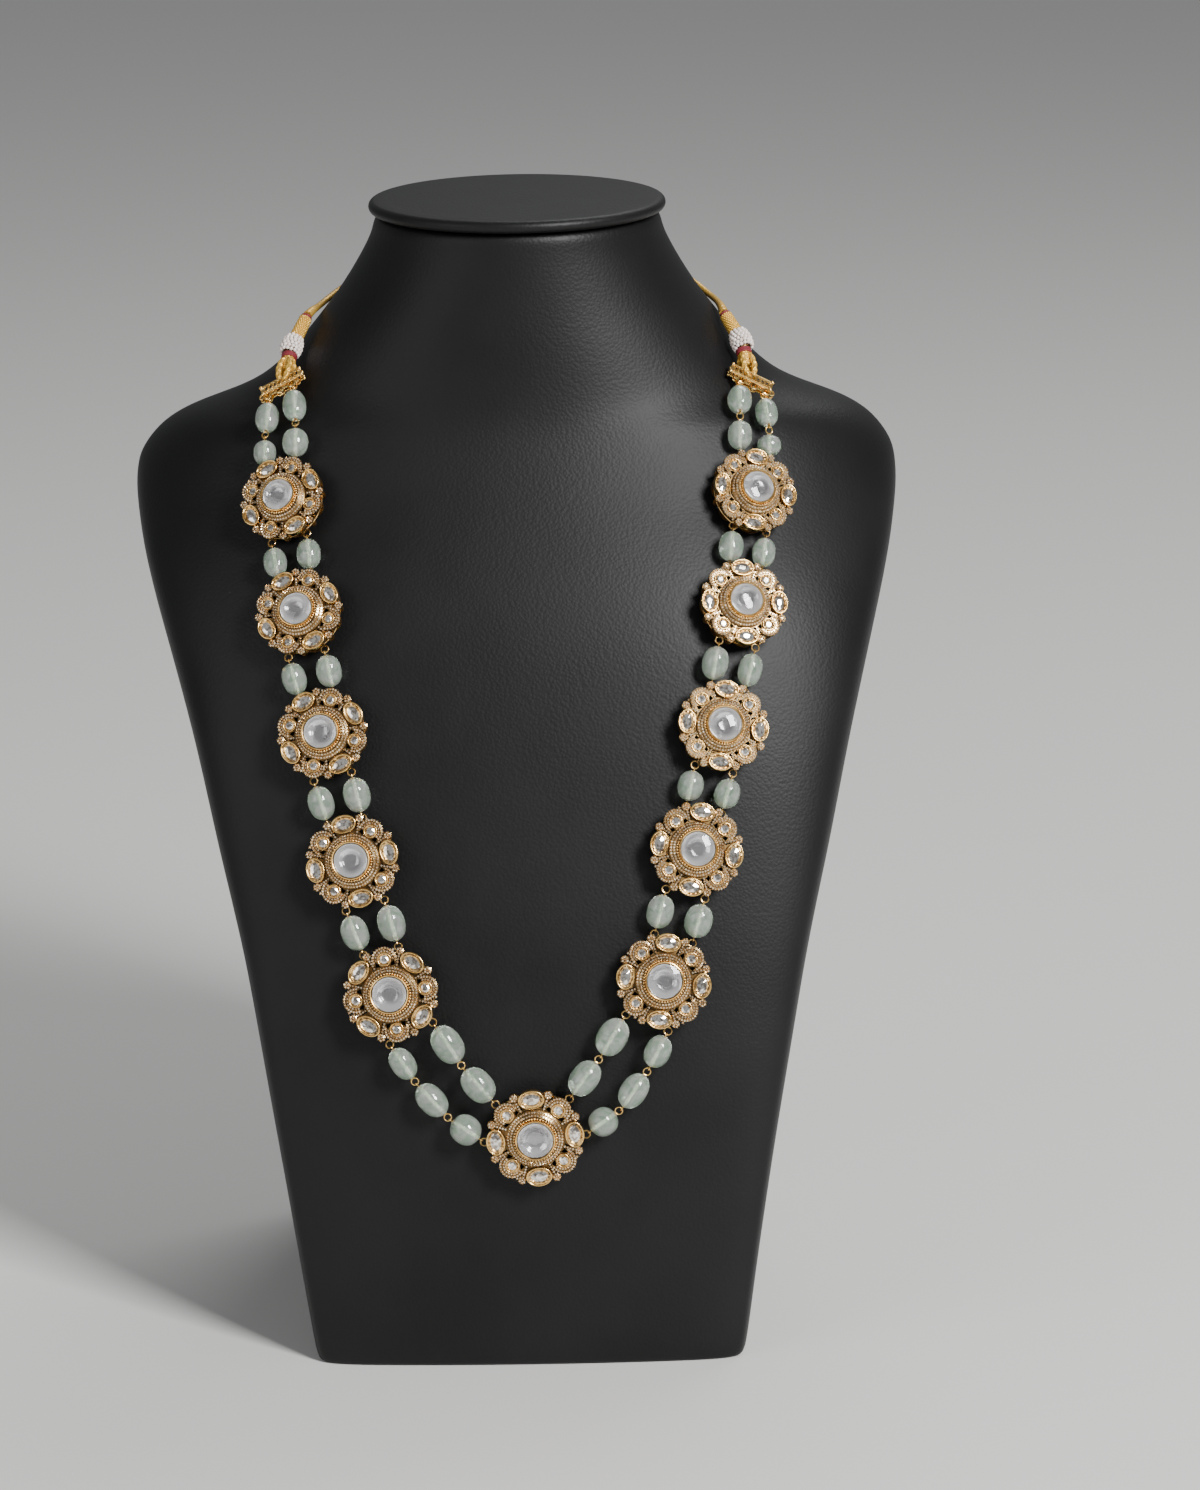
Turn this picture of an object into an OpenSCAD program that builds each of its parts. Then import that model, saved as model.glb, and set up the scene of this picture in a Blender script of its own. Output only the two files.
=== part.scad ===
// Long two-row necklace of flower medallions and oval beads, worn on a plain neck bust.
// Millimetres. +Z is up, +X is the right of the picture and -Y is the front. The bust stands on Z = 0.

/* [Bust] */
// Height of the bust up to the underside of its cap
neck_top = 441; // [440.5:0.1:441.5]
// Y of the bust's flat back
back_y = 111.5; // [110:0.5:113]
// Radius of the round cap
cap_r = 60.5; // [59:0.5:62]
// Thickness of the round cap
cap_t = 5; // [4:0.5:6]

/* [Medallions] */
// Gap between the bust and the back of a medallion, which the beads beside it set
lift = 3.4; // [2.8:0.1:4]
// Thickness of the back plate
back_t = 0.9; // [0.8:0.1:1]
// Height of the petal plate's underside
plate_z = 4.3; // [4.2:0.1:4.6]
// Height of the petal plate's upper face
plate_top = 5.3; // [5.2:0.1:5.6]
// Height of the oval settings' rims
oval_z = 6.7; // [6.4:0.1:7.2]
// Height of the round settings' rims
round_z = 6.4; // [6.2:0.1:7]
// Height of the raised petals round them
petal_z = 5.9; // [5.7:0.1:6.1]
// Height of the top of the sloping stone band
band_z = 8.1; // [7.8:0.1:8.4]
// Height of the grain ring's top
grain_z = 8.9; // [8.6:0.1:9]
// Height of the centre setting's rim
centre_z = 10.3; // [10:0.1:10.6]

/* [Wire and beads] */
// Radius of the wire of the pins
wire_r = 0.26; // [0.24:0.01:0.28]
// Radius of the wire of the solder rings
ring_wire = 0.28; // [0.26:0.01:0.3]
// Mean radius of the solder rings
ring_r = 1.5; // [1.4:0.05:1.6]
// Mean radius of a pin's small eye
small_eye = 0.7; // [0.68:0.01:0.75]
// Mean radius of a pin's large eye
large_eye = 1.45; // [1.4:0.05:1.5]
// Radius of the hole drilled along a bead
bore_r = 0.55; // [0.5:0.05:0.6]
// Small gap kept between neighbouring pieces
gap = 0.1; // [0.1:0.05:0.15]

/* [Cord] */
// Radius of the gold cord
cord_r = 1.3; // [1.2:0.1:1.4]

/* [Hidden] */
$fn = 32;

// The bust in level sections. Depths are measured forwards from the flat back.
// Columns: height, half width, front depth, bow of the front, depth of the widest line,
// squareness in front, squareness behind, inset of the back, shift to the left.
SECTIONS = [
    [0, 87.5, 217.5, 4, 175, 12, 14, 0, 0.7],
    [40, 93.5, 215, 5, 171, 12, 14, 0, 1],
    [80, 100, 211.5, 7, 166, 11, 14, 0, 1],
    [120, 107, 207, 9, 159, 10, 13, 0, 0.7],
    [160, 114.3, 200, 11, 149, 9, 12, 0, 0.4],
    [200, 124, 190.5, 14, 137, 7.5, 11, 0, 0.4],
    [240, 133.2, 179.5, 17, 123, 6, 9, 0, 0.5],
    [275, 143.5, 168, 21, 101, 4.4, 6, 0, 1.1],
    [303, 152.2, 156.5, 25, 80, 3.2, 4, 0, 1.9],
    [322, 156.5, 146.5, 28, 62, 2.7, 3, 0, 2.1],
    [333, 157.5, 140.5, 28, 51, 2.5, 2.5, 0, 2.3],
    [343, 155.5, 135.8, 24, 49, 2.3, 2.3, 0, 2.3],
    [352, 149, 131.7, 18, 51, 2.2, 2.2, 0, 2],
    [358, 140.5, 129.2, 13, 53, 2.1, 2.1, 0, 1.7],
    [362, 132, 127.8, 9, 55, 2.1, 2.1, 0, 1.4],
    [366, 119.5, 126.6, 6, 57, 2.05, 2.05, 0, 1.1],
    [371, 108, 125.6, 3, 59, 2, 2, 0, 0.8],
    [377.5, 99.5, 124.4, 2, 60, 2, 2, 0, 0.6],
    [387, 90.5, 123.2, 1, 60, 2, 2, 0, 0.5],
    [397, 83, 122, 0.5, 60, 2, 2, 0, 0.4],
    [411, 70.8, 120, 0, 60, 2, 2, 0, 0.3],
    [428, 60.5, 118.5, 0, 60, 2, 2, 0.5, 0],
    [neck_top, 58, 118, 0, 60, 2, 2, 2, 0]
];
steps_between = 2;
half_points = 9;

// The medallions from the left shoulder down to the middle and up to the right shoulder.
// Columns: x and z of the spot on the bust under the centre, diameter, turn of the ovals, backward tip.
MEDALLIONS = [
    [-92.5, 333.5, 35, 37, 2],
    [-86.5, 293.5, 35.5, 34, 4],
    [-78, 249.5, 36.5, 34, 5],
    [-67, 201.5, 37.5, 15, 5],
    [-53, 151, 38, -34, 5],
    [2.5, 95.5, 39, 5, -2],
    [53.5, 154.5, 38, -9, 5],
    [67, 204, 37.5, -12, 5],
    [78, 250, 36.5, -10, 5],
    [86.5, 294, 35.5, -6, 4],
    [91, 333.5, 35, -16, 2]
];
MEDALLION_NAMES = ["l1", "l2", "l3", "l4", "l5", "centre", "r5", "r4", "r3", "r2", "r1"];

// The spans between neighbours, from the left bar to the right bar. The inner row runs inside the loop.
// Columns: diameter of the inner row's first and last bead and of the outer row's, then how far each
// row's ring sits from the line between the centres, in degrees: first piece inner and outer, second
// piece inner and outer. Last, how far the rings lie past the edge of the first and second medallion.
SPANS = [
    [9.8, 10.3, 9.8, 9.2, 0, 0, 19, 29, 0, -1.5],
    [9.9, 9.9, 9.4, 9.4, 25, 24, 23, 25, 0.8, -1.4],
    [10.4, 10.4, 9.8, 9.8, 24, 24, 24, 24, 0.8, -1.4],
    [10.6, 10.6, 10.3, 10.3, 24, 24, 24, 22, 0.8, -1],
    [10.9, 10.9, 10.9, 10.9, 24, 24, 24, 20, 0.8, 0],
    [12, 11.6, 10, 11.8, 11, 47, -5, 51, 0.8, 0.8],
    [11.5, 12, 11.6, 10.4, -2, 48, 9, 45, 0.8, 0.8],
    [10.9, 10.9, 10.9, 10.9, 24, 24, 24, 24, 0, 0.8],
    [10.6, 10.6, 10.3, 10.3, 24, 24, 24, 24, -1, 0.8],
    [10.4, 10.4, 9.8, 9.8, 24, 24, 24, 24, -1.4, 0.6],
    [9.9, 9.9, 9.4, 9.4, 24, 24, 24, 24, -1.5, 0],
    [9.8, 10.1, 9.5, 9.4, 20, 27, 0, 0, -1.5, 0]
];

// The joints between two beads of one row, in order. Columns: span, 1 for the inner row, position.
JOINTS = [
    [0, 1, [-89.7, -4.5, 364.2]],
    [0, 0, [-102.3, -2.6, 359]],
    [5, 1, [-25.5, -101, 123.5]],
    [5, 0, [-44, -100.5, 117]],
    [5, 0, [-31, -103.5, 103]],
    [6, 1, [29, -100.5, 127.5]],
    [6, 0, [37, -103, 106.5]],
    [6, 0, [48, -100, 122]],
    [11, 1, [88.7, -2.8, 366.6]],
    [11, 0, [100.3, -1.8, 360.4]]
];

// The two ends. Columns: spacer bar's centre, barrel's centre, start of the cord, rise of the bar in
// degrees, places of the inner and outer bead rings along the bar.
ENDS = [
    [[-95.5, 16, 377.5], [-92, 30.5, 390], [-86, 41, 400.5], 27, 3.6, -7.4],
    [[93.5, 16, 376.5], [90, 28.5, 390], [83.5, 38.5, 399.5], -27, -3.4, 7.6]
];

// Shares of a medallion's radius
OVAL_AT = 0.805;
OVAL_RADIAL = 0.197;
OVAL_ALONG = 0.27;
PETAL_AT = 0.74;
PETAL_R = 0.26;
CLUSTER_AT = 0.925;
CLUSTER_R = 0.085;
CLUSTER_TURN = 22.5;
BAND_R = 0.59;
GRAIN_R = 0.46;
CENTRE_R = 0.405;
STONE_R = 0.365;
ROUND_R = 0.145;
GALLERY_SHARE = 0.87;
GAP_CORNERS = [[0.585, 0.1], [0.6, 0.215], [0.7, 0.195], [0.66, 0.135]];

ring_z = 2.6;
tab_r = 0.4;
shank_r = 0.22;
bar_half = 8.8;
bar_rod = 0.42;
bar_rise = 1.9;
bar_depth = 1.3;
bar_ring_drop = 5.1;

last = len(SECTIONS) - 1;
petals = len(MEDALLIONS);

// Interpolation between sections: cubic, with tangents that never overshoot
function slope(k, i) = (SECTIONS[i + 1][k] - SECTIONS[i][k]) / (SECTIONS[i + 1][0] - SECTIONS[i][0]);
function mean_slope(a, b) = a * b <= 0 ? 0 : 2 * a * b / (a + b);
function tangent(k, i) = i == 0 ? slope(k, 0)
    : i == last ? slope(k, last - 1)
    : mean_slope(slope(k, i - 1), slope(k, i));
function row_of(z, i = 0) = i >= last - 1 || z < SECTIONS[i + 1][0] ? i : row_of(z, i + 1);
function section(z, k) =
    let (
        i = row_of(z),
        h = SECTIONS[i + 1][0] - SECTIONS[i][0],
        t = (z - SECTIONS[i][0]) / h
    )
    (1 + 2 * t) * pow(1 - t, 2) * SECTIONS[i][k] + t * pow(1 - t, 2) * h * tangent(k, i)
    + t * t * (3 - 2 * t) * SECTIONS[i + 1][k] + t * t * (t - 1) * h * tangent(k, i + 1);

// How far a squared ellipse has fallen back at the share s of its half width
function fall(s, n) = 1 - pow(max(0, 1 - pow(min(1, abs(s)), n)), 1 / n);
function front_y(x, z) =
    let (s = min(1, abs(x + section(z, 8)) / section(z, 1)), bow = section(z, 3))
    back_y - section(z, 2) + bow * s * s
    + (section(z, 2) - section(z, 4) - bow) * fall(s, section(z, 5));
function behind_y(s, z) =
    back_y - section(z, 7) - (section(z, 4) - section(z, 7)) * fall(s, section(z, 6));
function unit(v) = v / norm(v);
function front_normal(x, z) = unit([
    front_y(x + 0.5, z) - front_y(x - 0.5, z),
    -1,
    front_y(x, z + 0.5) - front_y(x, z - 0.5)
]);

// Frames: origin, x axis, y axis and outward z axis
function medallion_frame(i) =
    let (
        m = MEDALLIONS[i],
        n = front_normal(m[0], m[1]),
        x = unit(cross([0, 0, 1], n)),
        y = cross(n, x),
        t = m[4]
    )
    [[m[0], front_y(m[0], m[1]), m[1]] + n * lift, x, y * cos(t) - n * sin(t), n * cos(t) + y * sin(t)];
function bar_frame(e) =
    let (
        x = [cos(ENDS[e][3]), 0, sin(ENDS[e][3])],
        up = ENDS[e][1] - ENDS[e][0],
        y = unit(up - x * (up * x))
    )
    [ENDS[e][0], x, y, cross(x, y)];

// Where the rings are. Piece 0 is the left bar, then come the medallions and the right bar.
function is_bar(p) = p == 0 || p == petals + 1;
function piece_origin(p) = is_bar(p) ? ENDS[p == 0 ? 0 : 1][0] : medallion_frame(p - 1)[0];
function toward(p, q) =
    let (f = medallion_frame(p - 1), d = piece_origin(q) - f[0]) atan2(d * f[2], d * f[1]);
function spread(s, second, inner) = SPANS[s][4 + (second ? 2 : 0) + (inner ? 0 : 1)];
function ring_angle(s, second, inner) =
    let (p = second ? s + 1 : s, q = second ? s : s + 1, way = (second ? -1 : 1) * (inner ? 1 : -1))
    toward(p, q) + way * spread(s, second, inner);
function ring_reach(i, s) = MEDALLIONS[i][2] / 2 + SPANS[s][s == i ? 9 : 8];
function ring_centre(s, second, inner) =
    let (p = second ? s + 1 : s, e = p == 0 ? 0 : 1)
    is_bar(p)
    ? let (f = bar_frame(e)) f[0] + f[1] * ENDS[e][inner ? 4 : 5] - f[2] * bar_ring_drop
    : let (f = medallion_frame(p - 1), a = ring_angle(s, second, inner))
        f[0] + (f[1] * cos(a) + f[2] * sin(a)) * ring_reach(p - 1, s) + f[3] * ring_z;

// The hooks of one row of a span: its two rings with the joints between the beads
function joints(s, inner) = [for (j = JOINTS) if (j[0] == s && (j[1] == 1) == inner) j[2]];
function beads_in(s, inner) = 1 + len(joints(s, inner));
function hook(s, inner, k) =
    k == 0 ? ring_centre(s, false, inner)
    : k == beads_in(s, inner) ? ring_centre(s, true, inner)
    : joints(s, inner)[k - 1];
function piece_normal(p) = is_bar(p) ? bar_frame(p == 0 ? 0 : 1)[3] : medallion_frame(p - 1)[3];
function hook_normal(s, inner, k) =
    k == 0 ? piece_normal(s)
    : k == beads_in(s, inner) ? piece_normal(s + 1)
    : let (p = joints(s, inner)[k - 1]) front_normal(p.x, p.z);

// Every bead as [span, inner row, place in the row]
BEADS = [for (s = [0:len(SPANS) - 1]) for (inner = [false, true]) for (k = [0:beads_in(s, inner) - 1])
    [s, inner, k]];
eye_room = small_eye + wire_r + gap;

// A pin as [centre of its first eye, centre of its last eye, last eye is the large one].
// An eye that hangs in a solder ring has its centre on that ring's wire.
function on_ring(d, n) = unit(d - n * (d * n)) * ring_r;
function pin(b) =
    let (
        p = hook(b[0], b[1], b[2]),
        q = hook(b[0], b[1], b[2] + 1),
        d = unit(q - p),
        first = b[2] == 0,
        final = b[2] == beads_in(b[0], b[1]) - 1
    )
    [
        first ? p + on_ring(d, piece_normal(b[0])) : p,
        final ? q - on_ring(d, piece_normal(b[0] + 1)) : q - d * large_eye,
        !final
    ];

// A bead's radius, from its row's first to its last, with a slight difference between neighbours
function bead_r(i) =
    let (
        b = BEADS[i],
        n = beads_in(b[0], b[1]),
        t = n == 1 ? 0.5 : b[2] / (n - 1),
        c = b[1] ? 0 : 2
    )
    (SPANS[b[0]][c] * (1 - t) + SPANS[b[0]][c + 1] * t) / 2 * (1 + 0.015 * sin(i * 137));

function bead_name(i) = str("bead_", i < 9 ? "0" : "", i + 1);

// The cord's route from the left binding over the side of the neck and round behind it to the right one
CORD_ROUTE = [
    [-86, 41, 400.5],
    [-84, 47, 401.5],
    [-82, 56, 401.5],
    [-79, 65, 402.5],
    [-73, 74.5, 405.5],
    [-65, 84, 409],
    [-55, 92.5, 413.5],
    [-44, 99.5, 418],
    [-33, 105.5, 422],
    [-22, 110, 425],
    [-11, 113, 427],
    [0, 114.5, 427],
    [11, 113, 427],
    [22, 110, 425],
    [33, 105.5, 422],
    [44, 99.5, 418],
    [55, 92.5, 413.5],
    [65, 84, 409],
    [72.5, 74.5, 405.5],
    [78, 65, 402.5],
    [81, 55, 401.5],
    [82.5, 45, 401],
    [83.5, 38.5, 399.5]
];

module in_frame(f)
    multmatrix([
        [f[1].x, f[2].x, f[3].x, f[0].x],
        [f[1].y, f[2].y, f[3].y, f[0].y],
        [f[1].z, f[2].z, f[3].z, f[0].z],
        [0, 0, 0, 1]
    ]) children();

// A frame at p whose z axis runs along d and whose y axis is as near to n as it can be
function along(p, d, n) = let (z = unit(d), x = unit(cross(n, z))) [p, x, cross(z, x), z];

module bust_body() {
    levels = [for (i = [0:last - 1]) for (j = [0:steps_between - 1])
        SECTIONS[i][0] + (SECTIONS[i + 1][0] - SECTIONS[i][0]) * j / steps_between, SECTIONS[last][0]];
    steps = [-half_points:half_points];
    shares = [for (i = steps) sign(i) * (1 - pow(1 - abs(i) / half_points, 2))];
    ring = 4 * half_points;
    points = [for (z = levels) each concat(
        [for (s = shares) let (x = s * section(z, 1) - section(z, 8)) [x, front_y(x, z), z]],
        [for (i = [2 * half_points - 1:-1:1])
            [shares[i] * section(z, 1) - section(z, 8), behind_y(shares[i], z), z]]
    )];
    top = len(levels) - 1;
    color("#1b1b1d") polyhedron(points, concat(
        [[for (i = [0:ring - 1]) i]],
        [[for (i = [ring - 1:-1:0]) top * ring + i]],
        [for (j = [0:top - 1]) for (i = [0:ring - 1]) each [
            [j * ring + i, (j + 1) * ring + (i + 1) % ring, j * ring + (i + 1) % ring],
            [j * ring + i, (j + 1) * ring + i, (j + 1) * ring + (i + 1) % ring]
        ]]
    ));
}

module bust_cap() {
    edge = cap_t / 2;
    color("#1b1b1d") translate([0, back_y - SECTIONS[last][4], neck_top + gap]) rotate_extrude($fn = 96) {
        square([cap_r - edge, cap_t]);
        translate([cap_r - edge, edge]) circle(edge);
    }
}

module oval(radial, along_rim)
    polygon([for (t = [0:18:359]) [radial * cos(t), along_rim * sin(t)]]);

// Flower outline of radius r: four ovals, four petals between them and a cluster on each side of an oval
module flower(r) {
    circle(BAND_R * r + 0.6);
    for (k = [0:3]) rotate(90 * k) {
        translate([OVAL_AT * r, 0]) oval(OVAL_RADIAL * r, OVAL_ALONG * r);
        rotate(45) translate([PETAL_AT * r, 0]) circle(PETAL_R * r);
        for (side = [-1, 1]) rotate(side * CLUSTER_TURN)
            translate([CLUSTER_AT * r, 0]) circle(CLUSTER_R * r);
    }
}

// The eight gaps beside the round settings
module gaps(r)
    for (k = [0:3]) rotate(45 + 90 * k) for (side = [-1, 1])
        polygon([for (c = GAP_CORNERS) [c[0] * r, side * c[1] * r]]);

module ring(mean, wire)
    rotate_extrude() translate([mean, 0]) circle(wire, $fn = 16);

module solder_rings(i) {
    from = MEDALLIONS[i][2] / 2 * GALLERY_SHARE - 2.5;
    for (s = [i, i + 1]) for (inner = [false, true]) rotate(ring_angle(s, s == i, inner)) {
        translate([ring_reach(i, s), 0, ring_z]) ring(ring_r, ring_wire);
        translate([from, 0, ring_z]) rotate([0, 90, 0])
            cylinder(r = tab_r, h = ring_reach(i, s) - ring_r - from);
    }
}

module medallion(i) {
    r = MEDALLIONS[i][2] / 2;
    edge = 0.15;
    color("#c8903c") in_frame(medallion_frame(i)) {
        solder_rings(i);
        rotate(MEDALLIONS[i][3]) difference() {
            union() {
                linear_extrude(back_t) flower(r * 0.96);
                linear_extrude(plate_z + 0.2) flower(r * GALLERY_SHARE);
                translate([0, 0, plate_z]) linear_extrude(plate_top - plate_z) flower(r);
                for (k = [0:3]) rotate(90 * k) {
                    translate([OVAL_AT * r, 0, plate_z + 0.3]) linear_extrude(oval_z - plate_z - 0.3)
                        oval(OVAL_RADIAL * r - edge, OVAL_ALONG * r - edge);
                    rotate(45) translate([PETAL_AT * r, 0, plate_z + 0.3]) {
                        cylinder(r = PETAL_R * r - edge, h = petal_z - plate_z - 0.3);
                        cylinder(r = ROUND_R * r, h = round_z - plate_z - 0.3);
                    }
                }
                translate([0, 0, plate_z + 0.4]) cylinder(r = BAND_R * r, h = petal_z - plate_z);
                translate([0, 0, petal_z + 0.4])
                    cylinder(r1 = BAND_R * r, r2 = GRAIN_R * r + 0.3, h = band_z - petal_z - 0.4);
                translate([0, 0, band_z - 0.1])
                    cylinder(r = GRAIN_R * r, h = grain_z - band_z + 0.1);
                translate([0, 0, grain_z - 0.1])
                    cylinder(r = CENTRE_R * r, h = centre_z - grain_z + 0.1);
            }
            translate([0, 0, -1]) linear_extrude(centre_z + 2) gaps(r);
            translate([0, 0, grain_z - 1]) cylinder(r = STONE_R * r + gap, h = 5);
            for (k = [0:3]) rotate(90 * k) {
                translate([OVAL_AT * r, 0, plate_top + 0.1]) linear_extrude(5)
                    oval(OVAL_RADIAL * r - 0.7, OVAL_ALONG * r - 0.7);
                rotate(45) translate([PETAL_AT * r, 0, plate_top + 0.1])
                    cylinder(r = ROUND_R * r - 0.4, h = 5);
            }
        }
    }
}

// A stone with a flat table, twelve crown facets and a short girdle
module cut_stone(radial, along_rim, h, sides = 12) {
    girdle = h * 0.35;
    table = 0.62;
    scale([1, along_rim / radial, 1]) rotate(180 / sides) {
        cylinder(r = radial, h = girdle, $fn = sides);
        translate([0, 0, girdle]) cylinder(r1 = radial, r2 = radial * table, h = h - girdle, $fn = sides);
    }
}

module centre_stones()
    color("#dfe3ea") for (i = [0:petals - 1]) in_frame(medallion_frame(i)) {
        r = STONE_R * MEDALLIONS[i][2] / 2;
        translate([0, 0, grain_z - 1 + gap]) cut_stone(r, r, 2, 16);
    }

module oval_stones()
    color("#dcdfe6") for (i = [0:petals - 1]) in_frame(medallion_frame(i)) {
        r = MEDALLIONS[i][2] / 2;
        for (k = [0:3]) rotate(MEDALLIONS[i][3] + 90 * k)
            translate([OVAL_AT * r, 0, plate_top + 0.1 + gap])
                cut_stone(OVAL_RADIAL * r - 0.85, OVAL_ALONG * r - 0.85, 1, 10);
    }

module round_stones()
    color("#dcdfe6") for (i = [0:petals - 1]) in_frame(medallion_frame(i)) {
        r = MEDALLIONS[i][2] / 2;
        for (k = [0:3]) rotate(MEDALLIONS[i][3] + 45 + 90 * k)
            translate([PETAL_AT * r, 0, plate_top + 0.1 + gap])
                cut_stone(ROUND_R * r - 0.5, ROUND_R * r - 0.5, 1.1, 8);
    }

function eye_frame(b, k) =
    let (p = pin(b)) along(p[k], p[1] - p[0], hook_normal(b[0], b[1], b[2] + k));

// An oval bead with its hole, from its first end at z = 0
module oval_bead(r, length) {
    mouth = 1.25;
    shares = [for (k = [-8:8]) sin(k * 90 / 8) * 0.995];
    rotate_extrude() polygon(concat(
        [[bore_r, length], [bore_r, 0]],
        [for (s = shares) [max(mouth, r * pow(1 - pow(abs(s), 2.3), 0.47)), length * (1 + s) / 2]]
    ));
}

module bead(i) {
    b = BEADS[i];
    p = pin(b);
    lower_room = (p[2] ? large_eye : small_eye) + wire_r + gap;
    color("#a8bead") in_frame(eye_frame(b, 0)) translate([0, 0, eye_room])
        oval_bead(bead_r(i), norm(p[1] - p[0]) - eye_room - lower_room);
}

// The first eye and a small last eye stand edge on; a large last eye lies flat to the front.
module bead_pins()
    color("#cf9a4a") for (b = BEADS) {
        p = pin(b);
        last_eye = p[2] ? large_eye : small_eye;
        in_frame(eye_frame(b, 0)) {
            rotate([0, 90, 0]) ring(small_eye, wire_r);
            translate([0, 0, small_eye])
                cylinder(r = shank_r, h = norm(p[1] - p[0]) - small_eye - last_eye);
        }
        in_frame(eye_frame(b, 1)) rotate([p[2] ? 90 : 0, p[2] ? 0 : 90, 0]) ring(last_eye, wire_r);
    }

// Openwork bar: a pierced face in front and behind, posts between them and the rings for the beads
module bar_face() {
    difference() {
        union() {
            square([2 * bar_half, 2 * bar_rise + 0.8], center = true);
            for (x = [-bar_half, bar_half]) for (y = [-bar_rise, bar_rise]) translate([x, y]) circle(0.6);
        }
        translate([-1, -bar_rise + 0.4]) square([2, 2 * bar_rise - 0.8]);
        for (x = [-7.3, -5.1, -2.6, 2.6, 5.1, 7.3]) for (y = [-0.8, 0.8]) translate([x, y]) circle(0.62);
    }
}

module spacer_bar(e) {
    color("#c8903c") in_frame(bar_frame(e)) {
        for (z = [-bar_depth - 0.3, bar_depth - 0.3]) translate([0, 0, z]) linear_extrude(0.6) bar_face();
        for (x = [-bar_half + 0.6, bar_half - 0.6]) for (y = [-bar_rise, bar_rise])
            translate([x, y, -bar_depth]) cylinder(r = bar_rod, h = 2 * bar_depth);
        for (x = [ENDS[e][4], ENDS[e][5]]) {
            translate([x, -bar_ring_drop, 0]) ring(ring_r, ring_wire);
            translate([x, ring_r - bar_ring_drop, 0]) rotate([-90, 0, 0])
                cylinder(r = tab_r, h = bar_ring_drop - ring_r - bar_rise);
            translate([x, -bar_rise, -bar_depth]) cylinder(r = bar_rod, h = 2 * bar_depth);
        }
    }
}

// Frames up the thread from the bar to the barrel, and from the barrel to the cord
function lower_thread(e) = along(ENDS[e][0], ENDS[e][1] - ENDS[e][0], bar_frame(e)[3]);
function upper_thread(e) = along(ENDS[e][1], ENDS[e][2] - ENDS[e][1], bar_frame(e)[3]);
barrel_half = 4.8;
barrel_r = 4.1;
loop_r = 3.5;
loop_wire = 0.7;
loop_up = 3.2;

module thread_loops()
    color("#be8c32") for (e = [0, 1]) {
        far = norm(ENDS[e][1] - ENDS[e][0]) - barrel_half - gap;
        in_frame(lower_thread(e)) {
            translate([0, 0, loop_up]) rotate([0, 90, 0]) ring(loop_r, loop_wire);
            translate([0, 0, loop_up + loop_r - 0.5]) cylinder(r1 = 1.5, r2 = 2.7, h = 2);
            translate([0, 0, loop_up + loop_r + 1.4]) cylinder(r = 2.7, h = far - loop_up - loop_r - 2.6);
            translate([0, 0, far - 1.4]) cylinder(r = 3, h = 1.4);
        }
    }

// Barrel that carries the seed pearls, along the mean of the two thread directions
function barrel_frame(e) = along(ENDS[e][1], lower_thread(e)[3] + upper_thread(e)[3], bar_frame(e)[3]);
module pearl_barrels()
    color("#e8dcd8") for (e = [0, 1]) in_frame(barrel_frame(e))
        rotate_extrude() polygon([
            [0, 0.6 - barrel_half], [barrel_r - 1.1, 0.6 - barrel_half], [barrel_r, -barrel_half / 2],
            [barrel_r, barrel_half / 2], [barrel_r - 1.3, barrel_half - 0.6], [0, barrel_half - 0.6]
        ]);

module cord_bindings()
    color("#be8c32") for (e = [0, 1]) {
        far = norm(ENDS[e][2] - ENDS[e][1]);
        in_frame(upper_thread(e)) {
            translate([0, 0, barrel_half]) cylinder(r1 = 2.9, r2 = 2.4, h = far - barrel_half - 1.9);
            translate([0, 0, far - 2.3]) cylinder(r = 2.2, h = 1.4);
        }
    }

// Tube of eight sides swept along the route, with smooth points between the chosen ones
cord_sides = 8;
cord_steps = 3;
function at(i) = CORD_ROUTE[max(0, min(len(CORD_ROUTE) - 1, i))];
function smooth(i, t) = 0.5 * (2 * at(i) + (at(i + 1) - at(i - 1)) * t
    + (2 * at(i - 1) - 5 * at(i) + 4 * at(i + 1) - at(i + 2)) * t * t
    + (3 * at(i) - at(i - 1) - 3 * at(i + 1) + at(i + 2)) * t * t * t);
function corner(k, j) = k * cord_sides + j % cord_sides;
module neck_cord() {
    ends = len(CORD_ROUTE) - 1;
    path = [
        for (i = [0:ends - 1]) for (j = [0:cord_steps - 1]) smooth(i, j / cord_steps),
        CORD_ROUTE[ends]
    ];
    n = len(path) - 1;
    points = [for (k = [0:n])
        let (
            d = unit(path[min(n, k + 1)] - path[max(0, k - 1)]),
            x = unit(cross(d, [0, 0, 1])),
            y = cross(d, x)
        )
        for (j = [0:cord_sides - 1])
            path[k] + cord_r * (x * cos(360 * j / cord_sides) + y * sin(360 * j / cord_sides))
    ];
    color("#be8c32") polyhedron(points, concat(
        [[for (j = [0:cord_sides - 1]) j]],
        [[for (j = [cord_sides - 1:-1:0]) n * cord_sides + j]],
        [for (k = [0:n - 1]) for (j = [0:cord_sides - 1]) each [
            [corner(k, j), corner(k + 1, j + 1), corner(k, j + 1)],
            [corner(k, j), corner(k + 1, j), corner(k + 1, j + 1)]
        ]]
    ));
}

module cord_slider() {
    half = 4;
    middle = CORD_ROUTE[11];
    color("#be8c32") translate([-half, middle.y, middle.z]) rotate([0, 90, 0]) difference() {
        rotate_extrude() polygon([
            [0, 0], [2.2, 0], [3, 1.2], [3, 2 * half - 1.2], [2.2, 2 * half], [0, 2 * half]
        ]);
        translate([0, 0, -1]) cylinder(r = cord_r + 0.4, h = 2 * half + 2);
    }
}

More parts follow.
